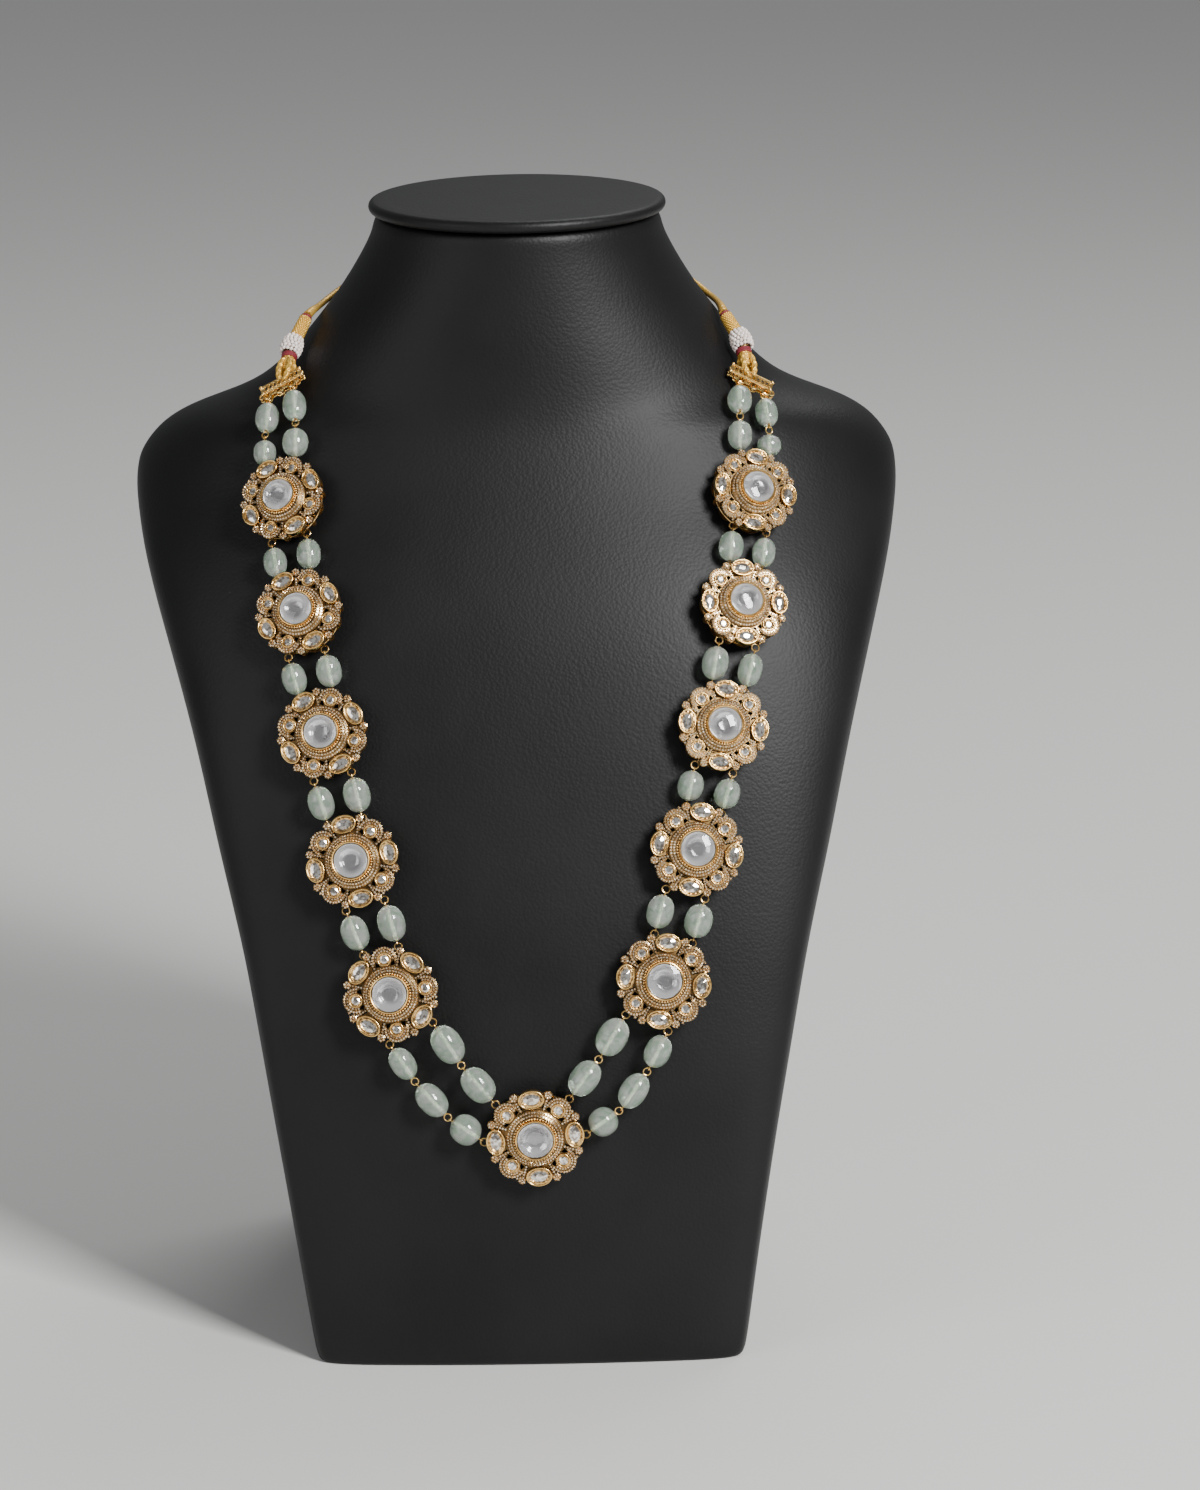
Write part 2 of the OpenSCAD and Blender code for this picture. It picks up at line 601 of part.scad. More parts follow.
bust_body();
bust_cap();
for (i = [0:petals - 1])
    medallion(i);
centre_stones();
oval_stones();
round_stones();
for (i = [0:len(BEADS) - 1]) bead(i);
bead_pins();
spacer_bar(0);  // spacer_bar_left
spacer_bar(1);  // spacer_bar_right
thread_loops();
pearl_barrels();
cord_bindings();
neck_cord();
cord_slider();
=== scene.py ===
import math
import bpy
import numpy as np
from mathutils import Matrix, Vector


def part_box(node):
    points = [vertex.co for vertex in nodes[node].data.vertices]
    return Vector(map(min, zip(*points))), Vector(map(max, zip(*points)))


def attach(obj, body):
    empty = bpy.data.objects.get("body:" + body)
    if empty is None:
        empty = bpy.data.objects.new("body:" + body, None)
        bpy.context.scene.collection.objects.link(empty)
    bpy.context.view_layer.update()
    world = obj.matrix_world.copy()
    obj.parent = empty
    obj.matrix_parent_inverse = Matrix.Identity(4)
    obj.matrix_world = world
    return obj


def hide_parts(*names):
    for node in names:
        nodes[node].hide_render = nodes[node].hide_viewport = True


print("loading the packed frame")
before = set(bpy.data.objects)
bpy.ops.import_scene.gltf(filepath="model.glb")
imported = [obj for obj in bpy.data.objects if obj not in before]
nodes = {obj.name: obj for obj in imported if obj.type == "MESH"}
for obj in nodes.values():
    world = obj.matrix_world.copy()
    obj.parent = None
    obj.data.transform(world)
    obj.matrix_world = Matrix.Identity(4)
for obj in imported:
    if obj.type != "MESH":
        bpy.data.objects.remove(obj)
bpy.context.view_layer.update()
mm = 0.001  # shapes are worked out in millimetres and stored in metres
tau = 2 * math.pi


# Vectors and surfaces

def unit(v):
    return v / np.linalg.norm(v, axis=-1, keepdims=True)


# A whole turn cut into equal angles, moved on by a share of one step
def anglesOf(count, shift=0.0):
    return (np.arange(count) + shift) * tau / count


# Points on an oval with half axes a and b: x = a cos t, y = b sin t, at height z
def onOval(a, b, t, z=0.0):
    return np.stack(np.broadcast_arrays(a * np.cos(t), b * np.sin(t), z), -1)


def onCircle(radius, t, z=0.0):
    return onOval(radius, radius, t, z)


# Quads between neighbouring points of a grid, numbered row by row
def gridFaces(rows, columns, closeRows=False, closeColumns=False):
    r = np.arange(rows if closeRows else rows - 1)[:, None]
    c = np.arange(columns if closeColumns else columns - 1)[None, :]
    nextR, nextC = (r + 1) % rows, (c + 1) % columns
    corners = [r * columns + c, r * columns + nextC, nextR * columns + nextC, nextR * columns + c]
    return np.stack(np.broadcast_arrays(*corners), -1).reshape(-1, 4)


# Rings of points as one closed skin: quads between the rings, and triangles to one more point at each end
def closedSkin(rings, firstTip, lastTip):
    rows, sides = rings.shape[:2]
    count, top = rows * sides, (rows - 1) * sides
    k = np.arange(sides)
    after = (k + 1) % sides
    faces = [gridFaces(rows, sides, closeColumns=True),
             np.stack([after, k, np.full(sides, count)], -1),
             np.stack([top + k, top + after, np.full(sides, count + 1)], -1)]
    return np.concatenate([rings.reshape(-1, 3), [firstTip, lastTip]]), faces


# (radius, height) pairs carried round the z axis, closed at both ends by a point on the axis
def revolve(profile, sides):
    profile = np.asarray(profile, float)
    r, z = profile[:, 0, None], profile[:, 1, None]
    return closedSkin(onCircle(r, anglesOf(sides), z), (0, 0, profile[0, 1]), (0, 0, profile[-1, 1]))


# A closed profile of (side, top) pairs carried along a path; side and top lie across the path, top towards up
def sweep(path, profile, up, closed=False):
    path, profile = np.asarray(path, float), np.asarray(profile, float)
    ahead = np.roll(path, -1, 0) - np.roll(path, 1, 0) if closed else np.gradient(path, axis=0)
    t = unit(ahead)
    up = np.broadcast_to(np.asarray(up, float), path.shape)
    u = unit(up - t * np.sum(up * t, -1, keepdims=True))
    s = np.cross(u, t)
    if profile.ndim == 2:
        profile = np.broadcast_to(profile, (len(path),) + profile.shape)
    rings = path[:, None] + profile[..., :1] * s[:, None] + profile[..., 1:] * u[:, None]
    if closed:
        return rings.reshape(-1, 3), [gridFaces(len(path), rings.shape[1], True, True)]
    return closedSkin(rings, path[0], path[-1])


# A closed profile of (offset, height) pairs carried round an oval whose half axes are a and b:
# x = (a + offset) cos t, y = (b + offset) sin t
def sweepOval(profile, a, b, steps):
    out, z = np.asarray(profile, float).T[:, None]
    points = onOval(a + out, b + out, anglesOf(steps)[:, None], z)
    return points.reshape(-1, 3), [gridFaces(steps, out.size, True, True)]


# Profile of a round wire
def wire(radius, sides=8):
    return onCircle(radius, anglesOf(sides))[:, :2]


# Oval ring of round wire in the xy plane, with half axes a and b to the wire's middle
def wireRing(a, b, steps, radius, sides=8, z=0.0):
    return sweep(onOval(a, b, anglesOf(steps), z), wire(radius, sides), (0, 0, 1), True)


# Braided round tube: the radius rises where one of two crossing families of helices runs on top,
# r = radius (1 + relief (max(cos(k a + q), cos(k a - q)) - 0.7)), with q turning once per twist.
# On a closed path the twist is first drawn to a whole number of turns.
def braid(path, radius, strands, twist, relief, sides, up=(0, 0, 1), closed=False):
    step = np.linalg.norm(np.roll(path, -1, 0) - path, axis=1)
    run = np.concatenate([[0], np.cumsum(step)[:-1]])[:, None]
    if closed:
        twist = step.sum() / round(step.sum() / twist)
    a = anglesOf(sides)[None]
    q = tau * run / twist
    over = np.maximum(np.cos(strands * a + q), np.cos(strands * a - q))
    r = radius * (1 + relief * (over - 0.7))
    return sweep(path, np.stack([r * np.cos(a), r * np.sin(a)], -1), up, closed)


# Smooth points between chosen ones: a Catmull-Rom curve with the given steps between neighbours
def smoothPath(points, steps):
    p = np.asarray(points, float)
    padded = np.concatenate([p[:1], p, p[-1:]])
    t = (np.arange(steps) / steps)[None, :, None]
    a, b, c, d = (padded[k:len(p) - 1 + k, None] for k in range(4))
    curve = 0.5 * (2 * b + (c - a) * t + (2 * a - 5 * b + 4 * c - d) * t * t
                   + (3 * b - a - 3 * c + d) * t ** 3)
    return np.concatenate([curve.reshape(-1, 3), p[-1:]])


# Axes as rows x, y, z with z along the normal and x towards the hint
def axesFrom(normal, hint):
    z = unit(np.asarray(normal, float))
    hint = np.broadcast_to(np.asarray(hint, float), z.shape)
    x = unit(hint - z * np.sum(hint * z, -1, keepdims=True))
    return np.stack([x, np.cross(z, x), z], -2)


# A part moved to an origin, its own x, y and z along the rows of axes
def placed(part, origin, axes):
    return origin + part[0] @ axes, *part[1:]


# Copies of a part, each at its own origin with its own axes and size
def scatter(part, origins, axes, sizes=None):
    points, faces = part[:2]
    count = len(origins)
    sizes = np.ones(count) if sizes is None else np.asarray(sizes, float)
    axes = np.broadcast_to(axes, (count, 3, 3)) * sizes[:, None, None]
    moved = origins[:, None] + np.einsum("pk,nkj->npj", points, axes)
    step = (np.arange(count) * len(points))[:, None, None]
    return moved.reshape(-1, 3), [(f[None] + step).reshape(-1, f.shape[1]) for f in faces]


def newObject(name, data):
    thing = bpy.data.objects.new(name, data)
    bpy.context.scene.collection.objects.link(thing)
    return thing


# One mesh from several parts, with edges sharper than the given degrees kept hard. A part is its points in
# millimetres, a list of face arrays and, where its finish needs it, a number from 0 to 1 for each point.
def addPiece(name, parts, look, replaced=(), sharp=40, inner=None):
    starts = np.cumsum([0] + [len(part[0]) for part in parts[:-1]])
    faces = [f + start for part, start in zip(parts, starts) for f in part[1]]
    sizes = np.concatenate([np.full(len(f), f.shape[1]) for f in faces])
    corners = np.concatenate([f.ravel() for f in faces])
    points = np.concatenate([part[0] for part in parts]) * mm
    mesh = bpy.data.meshes.new(name)
    mesh.vertices.add(len(points))
    mesh.vertices.foreach_set("co", points.astype(np.float32).ravel())
    mesh.loops.add(len(corners))
    mesh.loops.foreach_set("vertex_index", corners.astype(np.int32))
    mesh.polygons.add(len(sizes))
    mesh.polygons.foreach_set("loop_start", (np.cumsum(sizes) - sizes).astype(np.int32))
    mesh.polygons.foreach_set("use_smooth", np.ones(len(sizes), bool))
    mesh.update(calc_edges=True)
    mesh.set_sharp_from_angle(angle=math.radians(sharp))
    if len(parts[0]) > 2:
        crest = mesh.attributes.new("crest", "FLOAT", "POINT")
        crest.data.foreach_set("value", np.concatenate([part[2] for part in parts]).astype(np.float32))
    mesh.materials.append(look)
    if inner is not None:
        mesh.materials.append(inner[0])
        mesh.polygons.foreach_set("material_index", inner[1].astype(np.int32))
    piece = newObject(name, mesh)
    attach(piece, "root")
    if replaced:
        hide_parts(*replaced)
    return piece


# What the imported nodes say, in millimetres

def nodeBox(name):
    return np.array(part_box(name)) / mm


def nodePoints(name):
    mesh = nodes[name].data
    co = np.empty(len(mesh.vertices) * 3, np.float32)
    mesh.vertices.foreach_get("co", co)
    return co.reshape(-1, 3).astype(float) / mm


# The separate solids of a node, each as its points, the middles of its triangles and their areas.
# Labels spread along shared points until they stay as they are.
def nodeSolids(name):
    mesh = nodes[name].data
    points, same = np.unique(np.round(nodePoints(name), 3), axis=0, return_inverse=True)
    corners = np.empty(len(mesh.loops), np.int32)
    mesh.loops.foreach_get("vertex_index", corners)
    triangles = same.ravel()[corners].reshape(-1, 3)
    label = np.arange(len(points))
    while True:
        fresh = label.copy()
        np.minimum.at(fresh, triangles.ravel(), np.repeat(label[triangles].min(1), 3))
        fresh = fresh[fresh]
        if (fresh == label).all():
            break
        label = fresh
    a, b, c = (points[triangles[:, k]] for k in range(3))
    areas = np.linalg.norm(np.cross(b - a, c - a), axis=1) / 2
    middles, owner = (a + b + c) / 3, label[triangles[:, 0]]
    return [(points[label == k], middles[owner == k], areas[owner == k]) for k in np.unique(label)]


# The middle of a solid's surface and its axes, from the one along which it reaches furthest
def mainAxes(solid):
    _, middles, areas = solid
    centre = areas @ middles / areas.sum()
    off = middles - centre
    return centre, np.linalg.eigh((off * areas[:, None]).T @ off)[1].T[::-1]


# The camera, with the photograph's view, found from the places of the medallions in it
cameraView = {"place": (0.0305, -2.465, 0.8654), "down": 14.48, "roll": -0.85, "lens": 187.5}


def makeCamera():
    data = bpy.data.cameras.new("camera")
    data.sensor_width = 36
    data.sensor_fit = "HORIZONTAL"
    data.lens = cameraView["lens"]
    data.clip_end = 60
    camera = newObject("camera", data)
    down = Matrix.Rotation(math.radians(90 - cameraView["down"]), 4, "X")
    roll = Matrix.Rotation(math.radians(cameraView["roll"]), 4, "Z")
    camera.matrix_world = Matrix.Translation(cameraView["place"]) @ down @ roll
    bpy.context.scene.camera = camera


makeCamera()
print("camera set")


# Finishes

def newFinish(name, colour, roughness, metallic=0.0, **sockets):
    look = bpy.data.materials.new(name)
    look.use_nodes = True
    shader = shaderOf(look)
    shader.inputs["Base Color"].default_value = (*colour, 1)
    shader.inputs["Roughness"].default_value = roughness
    shader.inputs["Metallic"].default_value = metallic
    for socket, value in sockets.items():
        shader.inputs[socket.replace("_", " ")].default_value = value
    return look


def shaderOf(look):
    return look.node_tree.nodes["Principled BSDF"]


def addNode(look, kind, **settings):
    node = look.node_tree.nodes.new(kind)
    for key, value in settings.items():
        if key in node.inputs:
            node.inputs[key].default_value = value
        else:
            setattr(node, key, value)
    return node


def join(look, source, output, target, entry):
    look.node_tree.links.new(source.outputs[output], target.inputs[entry])


# Noise of the given grain size in millimetres
def grainNoise(look, grain, detail):
    place = addNode(look, "ShaderNodeTexCoord")
    noise = addNode(look, "ShaderNodeTexNoise", Scale=1 / (grain * mm), Detail=detail)
    join(look, place, "Object", noise, "Vector")
    return noise


# Colour between two tones, by another node's output
def toneRamp(look, source, tones, spread):
    ramp = addNode(look, "ShaderNodeValToRGB")
    for stop, tone, at in zip(ramp.color_ramp.elements, tones, spread):
        stop.color = (*tone, 1)
        stop.position = at
    join(look, source, "Fac", ramp, "Fac")
    join(look, ramp, "Color", shaderOf(look), "Base Color")


# Colour that drifts between two tones with a noise of the given grain size in millimetres
def mottle(look, grain, tones, detail=3.0, spread=(0.35, 0.65)):
    noise = grainNoise(look, grain, detail)
    toneRamp(look, noise, tones, spread)
    return noise


# Roughness that drifts with the same noise
def wear(look, noise, low, high):
    span = addNode(look, "ShaderNodeMapRange")
    span.inputs["To Min"].default_value = low
    span.inputs["To Max"].default_value = high
    join(look, noise, "Fac", span, "Value")
    join(look, span, "Result", shaderOf(look), "Roughness")


# Fine relief from a noise of the given grain size and depth in millimetres
def ripple(look, grain, depth, strength=0.5):
    noise = grainNoise(look, grain, 2.0)
    bump = addNode(look, "ShaderNodeBump", Strength=strength, Distance=depth * mm)
    join(look, noise, "Fac", bump, "Height")
    join(look, bump, "Normal", shaderOf(look), "Normal")


# Black leather cloth. Names that end in Mm are grain sizes or depths.
leatherLook = {
    "colour": (0.007, 0.007, 0.0075), "roughness": 0.5, "specular": 0.3,
    "driftMm": 60, "tones": ((0.0026, 0.0026, 0.0028), (0.0052, 0.005, 0.0054)), "worn": (0.44, 0.56),
    "pebbleMm": 1.25, "pebbleSoft": 0.35, "bendMm": 2.2, "bendBy": 0.0004,
    "creaseMm": 0.45, "creaseShare": 0.3, "depthMm": 0.16, "relief": 0.42,
}


# Height of the leather's grain: 1 - distance to the nearest bent pebble's middle + a share of fine creases
def leatherFinish():
    v = leatherLook
    look = newFinish("leather", v["colour"], v["roughness"])
    shaderOf(look).inputs["Specular IOR Level"].default_value = v["specular"]
    wear(look, mottle(look, v["driftMm"], v["tones"]), *v["worn"])
    place = addNode(look, "ShaderNodeTexCoord")
    bend = grainNoise(look, v["bendMm"], 1.0)
    creases = grainNoise(look, v["creaseMm"], 2.0)
    bent = addNode(look, "ShaderNodeVectorMath", operation="MULTIPLY_ADD")
    bent.inputs[1].default_value = (v["bendBy"],) * 3
    pebble = addNode(look, "ShaderNodeTexVoronoi", Scale=1 / (v["pebbleMm"] * mm), feature="SMOOTH_F1")
    pebble.inputs["Smoothness"].default_value = v["pebbleSoft"]
    flip = addNode(look, "ShaderNodeMath", operation="SUBTRACT")
    flip.inputs[0].default_value = 1.0
    total = addNode(look, "ShaderNodeMath", operation="MULTIPLY_ADD")
    total.inputs[1].default_value = v["creaseShare"]
    bump = addNode(look, "ShaderNodeBump", Strength=v["relief"], Distance=v["depthMm"] * mm)
    join(look, bend, "Color", bent, 0)
    join(look, place, "Object", bent, 2)
    join(look, bent, "Vector", pebble, "Vector")
    join(look, pebble, "Distance", flip, 1)
    join(look, creases, "Fac", total, 0)
    join(look, flip, 0, total, 2)
    join(look, total, 0, bump, "Height")
    join(look, bump, "Normal", shaderOf(look), "Normal")
    return look


def giltFinish(name, colour, deep, roughness, grain=0.9):
    look = newFinish(name, colour, roughness, 1.0)
    noise = mottle(look, 2.5, (deep, colour))
    wear(look, noise, roughness * 0.75, roughness * 1.35)
    ripple(look, grain, 0.03, 0.4)
    return look


def beadFinish():
    look = newFinish("pale_green_stone", (0.6, 0.72, 0.62), 0.04, Transmission_Weight=0.77, IOR=1.5,
                         Subsurface_Weight=1.0, Subsurface_Scale=0.003, Coat_Weight=0.8)
    shaderOf(look).inputs["Subsurface Radius"].default_value = (1.0, 1.1, 0.95)
    noise = mottle(look, 4.5, ((0.56, 0.73, 0.58), (0.9, 0.98, 0.87)), 6.0, (0.34, 0.62))
    noise.inputs["Distortion"].default_value = 1.6
    wear(look, noise, 0.03, 0.07)
    ripple(look, 4.0, 0.05, 0.12)
    return look


# Silver foil with a painted reflection: darker towards the middle of its cup and bright towards its rim, by
# the number stored with its points
def foilFinish():
    look = newFinish("silver_foil", (0.8, 0.8, 0.82), 0.12, 0.55)
    share = addNode(look, "ShaderNodeAttribute", attribute_name="crest")
    toneRamp(look, share, ((0.44, 0.43, 0.44), (1.0, 0.99, 0.99)), (0.0, 1.0))
    ripple(look, 3.0, 0.04, 0.3)
    return look


def threadFinish(name, colour, deep, roughness, metallic=0.0):
    look = newFinish(name, colour, roughness, metallic)
    mottle(look, 0.35, (deep, colour), 2.0)
    ripple(look, 0.22, 0.05, 0.7)
    return look


# Colour, deeper colour and roughness, and sizes of grain in millimetres
gilt = giltFinish("gilt", (0.9, 0.62, 0.29), (0.64, 0.42, 0.17), 0.22)
# Shadowed gilt: a darker copy of the gilt, painted shade for the gaps between set stones and between seed
# pearls
paintedShadeGilt = giltFinish("shadowed_gilt", (0.28, 0.17, 0.068), (0.14, 0.083, 0.03), 0.36)
polish = giltFinish("polished_gilt", (1.0, 0.69, 0.29), (0.88, 0.54, 0.18), 0.18, grain=1.0)
giltWire = giltFinish("gilt_wire", (1.0, 0.71, 0.28), (0.9, 0.56, 0.18), 0.2)
leather = leatherFinish()
crystal = newFinish("clear_stone", (1.0, 1.0, 1.0), 0.02, Transmission_Weight=1.0, IOR=1.52)
ripple(crystal, 2.5, 0.02, 0.15)
foil = foilFinish()
facet = newFinish("faceted_stone", (0.95, 0.9, 0.84), 0.07, 0.9, Coat_Weight=1.0)
mottle(facet, 1.3, ((0.42, 0.36, 0.3), (1.0, 0.96, 0.89)), 1.0, (0.38, 0.55))
# Small pavé stones: their champagne tone is a painted reflection of the gold round them, and the noise
# between a gold-dark and a near-white tone paints glints on some stones and leaves others dark
sparkle = newFinish("champagne_stone", (0.97, 0.8, 0.57), 0.12, 0.72, Coat_Weight=0.4)
mottle(sparkle, 0.9, ((0.62, 0.41, 0.2), (1.0, 0.88, 0.68)), 1.0, (0.4, 0.58))
greenStone = beadFinish()
channel = newFinish("drill_channel", (0.86, 0.85, 0.7), 0.7)
ripple(channel, 0.3, 0.05)
pearl = newFinish("seed_pearl", (0.94, 0.85, 0.8), 0.26, Coat_Weight=0.6, Coat_Roughness=0.12)
mottle(pearl, 1.6, ((0.84, 0.7, 0.63), (0.98, 0.91, 0.85)), 1.0)
goldThread = threadFinish("gold_thread", (0.9, 0.56, 0.11), (0.6, 0.34, 0.05), 0.36, metallic=0.5)
maroonThread = threadFinish("maroon_thread", (0.3, 0.03, 0.045), (0.14, 0.012, 0.02), 0.55)
print("finishes made")

# The cord

cordShape = {
    "radius": 1.3, "strands": 5, "twist": 3.0, "relief": 0.05, "sides": 16, "steps": 24, "statedSteps": 3,
    "length": 0.2525,  # metres, from binding to binding
    "route": [
        (-86, 41, 400.5), (-84, 47, 401.5), (-82, 56, 401.5), (-79, 65, 402.5), (-73, 74.5, 405.5),
        (-65, 84, 409), (-55, 92.5, 413.5), (-44, 99.5, 418), (-33, 105.5, 422), (-22, 110, 425),
        (-11, 113, 427), (0, 114.5, 427), (11, 113, 427), (22, 110, 425), (33, 105.5, 422),
        (44, 99.5, 418), (55, 92.5, 413.5), (65, 84, 409), (72.5, 74.5, 405.5), (78, 65, 402.5),
        (81, 55, 401.5), (82.5, 45, 401), (83.5, 38.5, 399.5),
    ],
}


# Plain slider on the cord at the nape, in millimetres from its own middle
sliderShape = {"at": 11, "half": 4.0, "bore": 1.7, "endR": 2.3, "wallR": 2.9, "middleR": 3.0, "bevel": 0.9,
               "sides": 48}


def makeSlider():
    s = sliderShape
    half, wall = s["half"], s["half"] - s["bevel"]
    profile = [(s["bore"], -half), (s["endR"], -half), (s["wallR"], -wall), (s["middleR"], 0),
               (s["wallR"], wall), (s["endR"], half), (s["bore"], half)]
    middle = np.array(cordShape["route"][s["at"]], float)
    ring = placed(sweepOval(profile, 0, 0, s["sides"]), middle, axesFrom((1, 0, 0), (0, 0, 1)))
    return addPiece("cordSlider", [ring], goldThread, ("cord_slider",))


def makeCord():
    s = cordShape
    tube = braid(smoothPath(s["route"], s["steps"]), s["radius"], s["strands"], s["twist"], s["relief"],
                 s["sides"])
    cord = addPiece("neckCord", [tube], goldThread, ("neck_cord",), 80)
    slider = makeSlider()


makeCord()
print("cord made")

# The bust

# In millimetres. Each ring starts within frontMargin radians of its front. The rings are evened from
# evenFrom up to neckTop, in full from evenRun higher, and thinned from thinFrom up to neckTop.
bustShape = {
    "foldInset": 1.3, "fold": 1.4, "flat": 8.0, "levels": 2, "frontMargin": 0.05,
    "evenFrom": 300, "evenRun": 25, "passes": 3, "thinFrom": 345, "neckTop": 430,
}


# The node's level rings as a grid of quads: the points of each level in order of their angle from the front.
# Above the chest each ring is drawn part of the way to the line between its neighbours, and at the foot of
# the neck, where the levels lie close, every other ring is kept.
def bustGrid():
    s = bustShape
    points = np.unique(np.round(nodePoints("bust_body"), 2), axis=0)
    rings = []
    for level in np.unique(points[:, 2]):
        ring = points[points[:, 2] == level]
        middle = (ring.min(0) + ring.max(0)) / 2
        fromFront = np.arctan2(ring[:, 0] - middle[0], middle[1] - ring[:, 1])
        rings.append(ring[np.argsort((fromFront + s["frontMargin"]) % tau)])
    rings = np.array(rings)
    level = rings[:, 0, 2]
    below, own, above = level[:-2], level[1:-1], level[2:]
    share = ((own - below) / (above - below))[:, None, None]
    pull = (np.clip((own - s["evenFrom"]) / s["evenRun"], 0, 1) * (own < s["neckTop"]) / 2)[:, None, None]
    for _ in range(s["passes"]):
        between = rings[:-2] * (1 - share) + rings[2:] * share
        rings[1:-1] += (between - rings[1:-1]) * pull
    close = np.flatnonzero((level > s["thinFrom"]) & (level < s["neckTop"]))
    return np.delete(rings, close[::2], axis=0)


# A level ring moved inwards by the given distance and set at height z
def drawnIn(ring, inset, z):
    middle = (ring.min(0) + ring.max(0)) / 2
    inward = ring - middle
    reach = np.linalg.norm(inward[:, :2], axis=1, keepdims=True)
    return np.concatenate([(middle + inward * (1 - inset / reach))[:, :2], np.full((len(ring), 1), z)], 1)


# The rings with a small fold at the foot and at the top, so that the smooth surface keeps both edges
def makeBust():
    s = bustShape
    rings = bustGrid()
    foot, top = rings[0], rings[-1]
    footZ, topZ = foot[0, 2], top[0, 2]
    share = s["fold"] / (rings[1][0, 2] - footZ)
    start = [drawnIn(foot, s["flat"], footZ), drawnIn(foot, s["foldInset"], footZ),
             foot + (rings[1] - foot) * share]
    grid = np.concatenate([start, rings[1:], [drawnIn(top, s["flat"], topZ)]])
    bust = addPiece("bustLeather", [closedSkin(grid, grid[0].mean(0), grid[-1].mean(0))], leather,
                    ("bust_body",), 180)
    smooth = bust.modifiers.new("smooth", "SUBSURF")
    smooth.levels = smooth.render_levels = s["levels"]


# In millimetres; tip and underShare are shares of the cap's radius
capShape = {"crown": 0.7, "sides": 160, "rimSteps": 17, "crownSteps": 14, "tip": 0.02, "underR": 2.0,
            "underShare": 0.6}


# Flat round pad: straight underside, half-round edge and a top that rises by crown (1 - share of radius ^ 2)
def makeCap():
    s = capShape
    low, high = nodeBox("bust_cap")
    radius, thick = (high[0] - low[0]) / 2, high[2] - low[2]
    edge = thick / 2
    turn = np.linspace(-90, 90, s["rimSteps"]) * math.pi / 180
    rim = np.stack([radius - edge + edge * np.cos(turn), edge + edge * np.sin(turn)], -1)
    share = np.linspace(1, s["tip"], s["crownSteps"])
    crown = np.stack([(radius - edge) * share, thick + s["crown"] * (1 - share ** 2)], -1)
    under = [[s["underR"], 0.0], [radius * s["underShare"], 0.0]]
    part = revolve(np.concatenate([under, rim, crown[1:]]), s["sides"])
    centre = np.array([(low[0] + high[0]) / 2, (low[1] + high[1]) / 2, low[2]])
    addPiece("bustCap", [placed(part, centre, np.eye(3))], leather, ("bust_cap",), 60)


makeBust()
makeCap()
print("bust made")

# The medallions

# Shares of the medallion's radius unless a name ends in Mm; heights are above the back plate
medallionShape = {
    "stoneR": 0.365, "stoneSeatMm": 8.0, "centreR": 0.405, "bandR": 0.59, "plateMm": 5.3, "petalMm": 5.9,
    "ovalAt": 0.805, "ovalAcross": 0.197, "ovalAlong": 0.27, "petalAt": 0.74, "petalR": 0.26, "roundR": 0.145,
}


# Each medallion as its name, radius, origin and axes: z from its round stone, x towards an oval stone
def readMedallions():
    centres = nodeSolids("centre_stones")
    ovals = np.array([mainAxes(s)[0] for s in nodeSolids("oval_stones")])
    found = []
    for name in [n for n in nodes if n.startswith("medallion_")]:
        low, high = nodeBox(name)
        stone = min(centres, key=lambda s: np.linalg.norm(s[0].mean(0) - (low + high) / 2))
        middle, (_, _, z) = mainAxes(stone)
        z = z * np.sign(-z[1])
        height = (stone[0] - middle) @ z
        across = (stone[0] - middle) - height[:, None] * z
        radius = np.linalg.norm(across, axis=1).max() / medallionShape["stoneR"]
        origin = middle + z * (height.min() - medallionShape["stoneSeatMm"])
        nearest = ovals[np.argmin(np.linalg.norm(ovals - middle, axis=1))]
        found.append((name, radius, origin, axesFrom(z, nearest - origin)))
    return found


medallions = readMedallions()
quarter = np.arange(4) * tau / 4


# The small set stones and the ring of grains, in the same units; tilts are slopes and turns are degrees.
# A row round a petal is its millimetres past the radius and above the face, and its tilt. Stones keep off
# the two gaps beside a petal, the centre's band and the oval settings by gapMm, bandMm and ovalMm.
paveShape = {
    "pitchMm": 1.14, "stoneMm": 0.49, "crownMm": 0.34, "proudMm": 0.03,
    "seatMm": [(0.4, -1.3), (0.53, 0.02)], "prongAtMm": 0.58, "prongUpMm": 0.22, "prongMm": 0.16,
    "centreR": 0.49, "centreStepMm": 1.12, "centreTopMm": 8.15, "centreLowMm": 7.0, "centreTilt": 0.62,
    "legTurn": 22.5, "legFromMm": 0.75, "legTo": 0.84, "legUpMm": 0.45,
    "clusterAt": 0.925, "clusterMm": 1.08, "clusterTilt": 0.45, "clusterUpMm": 0.3, "edge": 0.955,
    "petalRow": (-0.4, 0.1, 0.38), "innerRow": (0.6, 0.22, 0.0), "edgeRow": (0.5, 0.3, 0.3), "rowShift": 0.3,
    "gapAhead": 0.635, "gapAside": 0.16, "gapLong": 0.85, "gapMm": 1.25, "bandMm": 0.5, "ovalMm": 0.4,
    "near": 0.86,
    "grains": 46, "grainAt": 0.433, "grainUpMm": 9.0, "grainFill": 0.98,
}


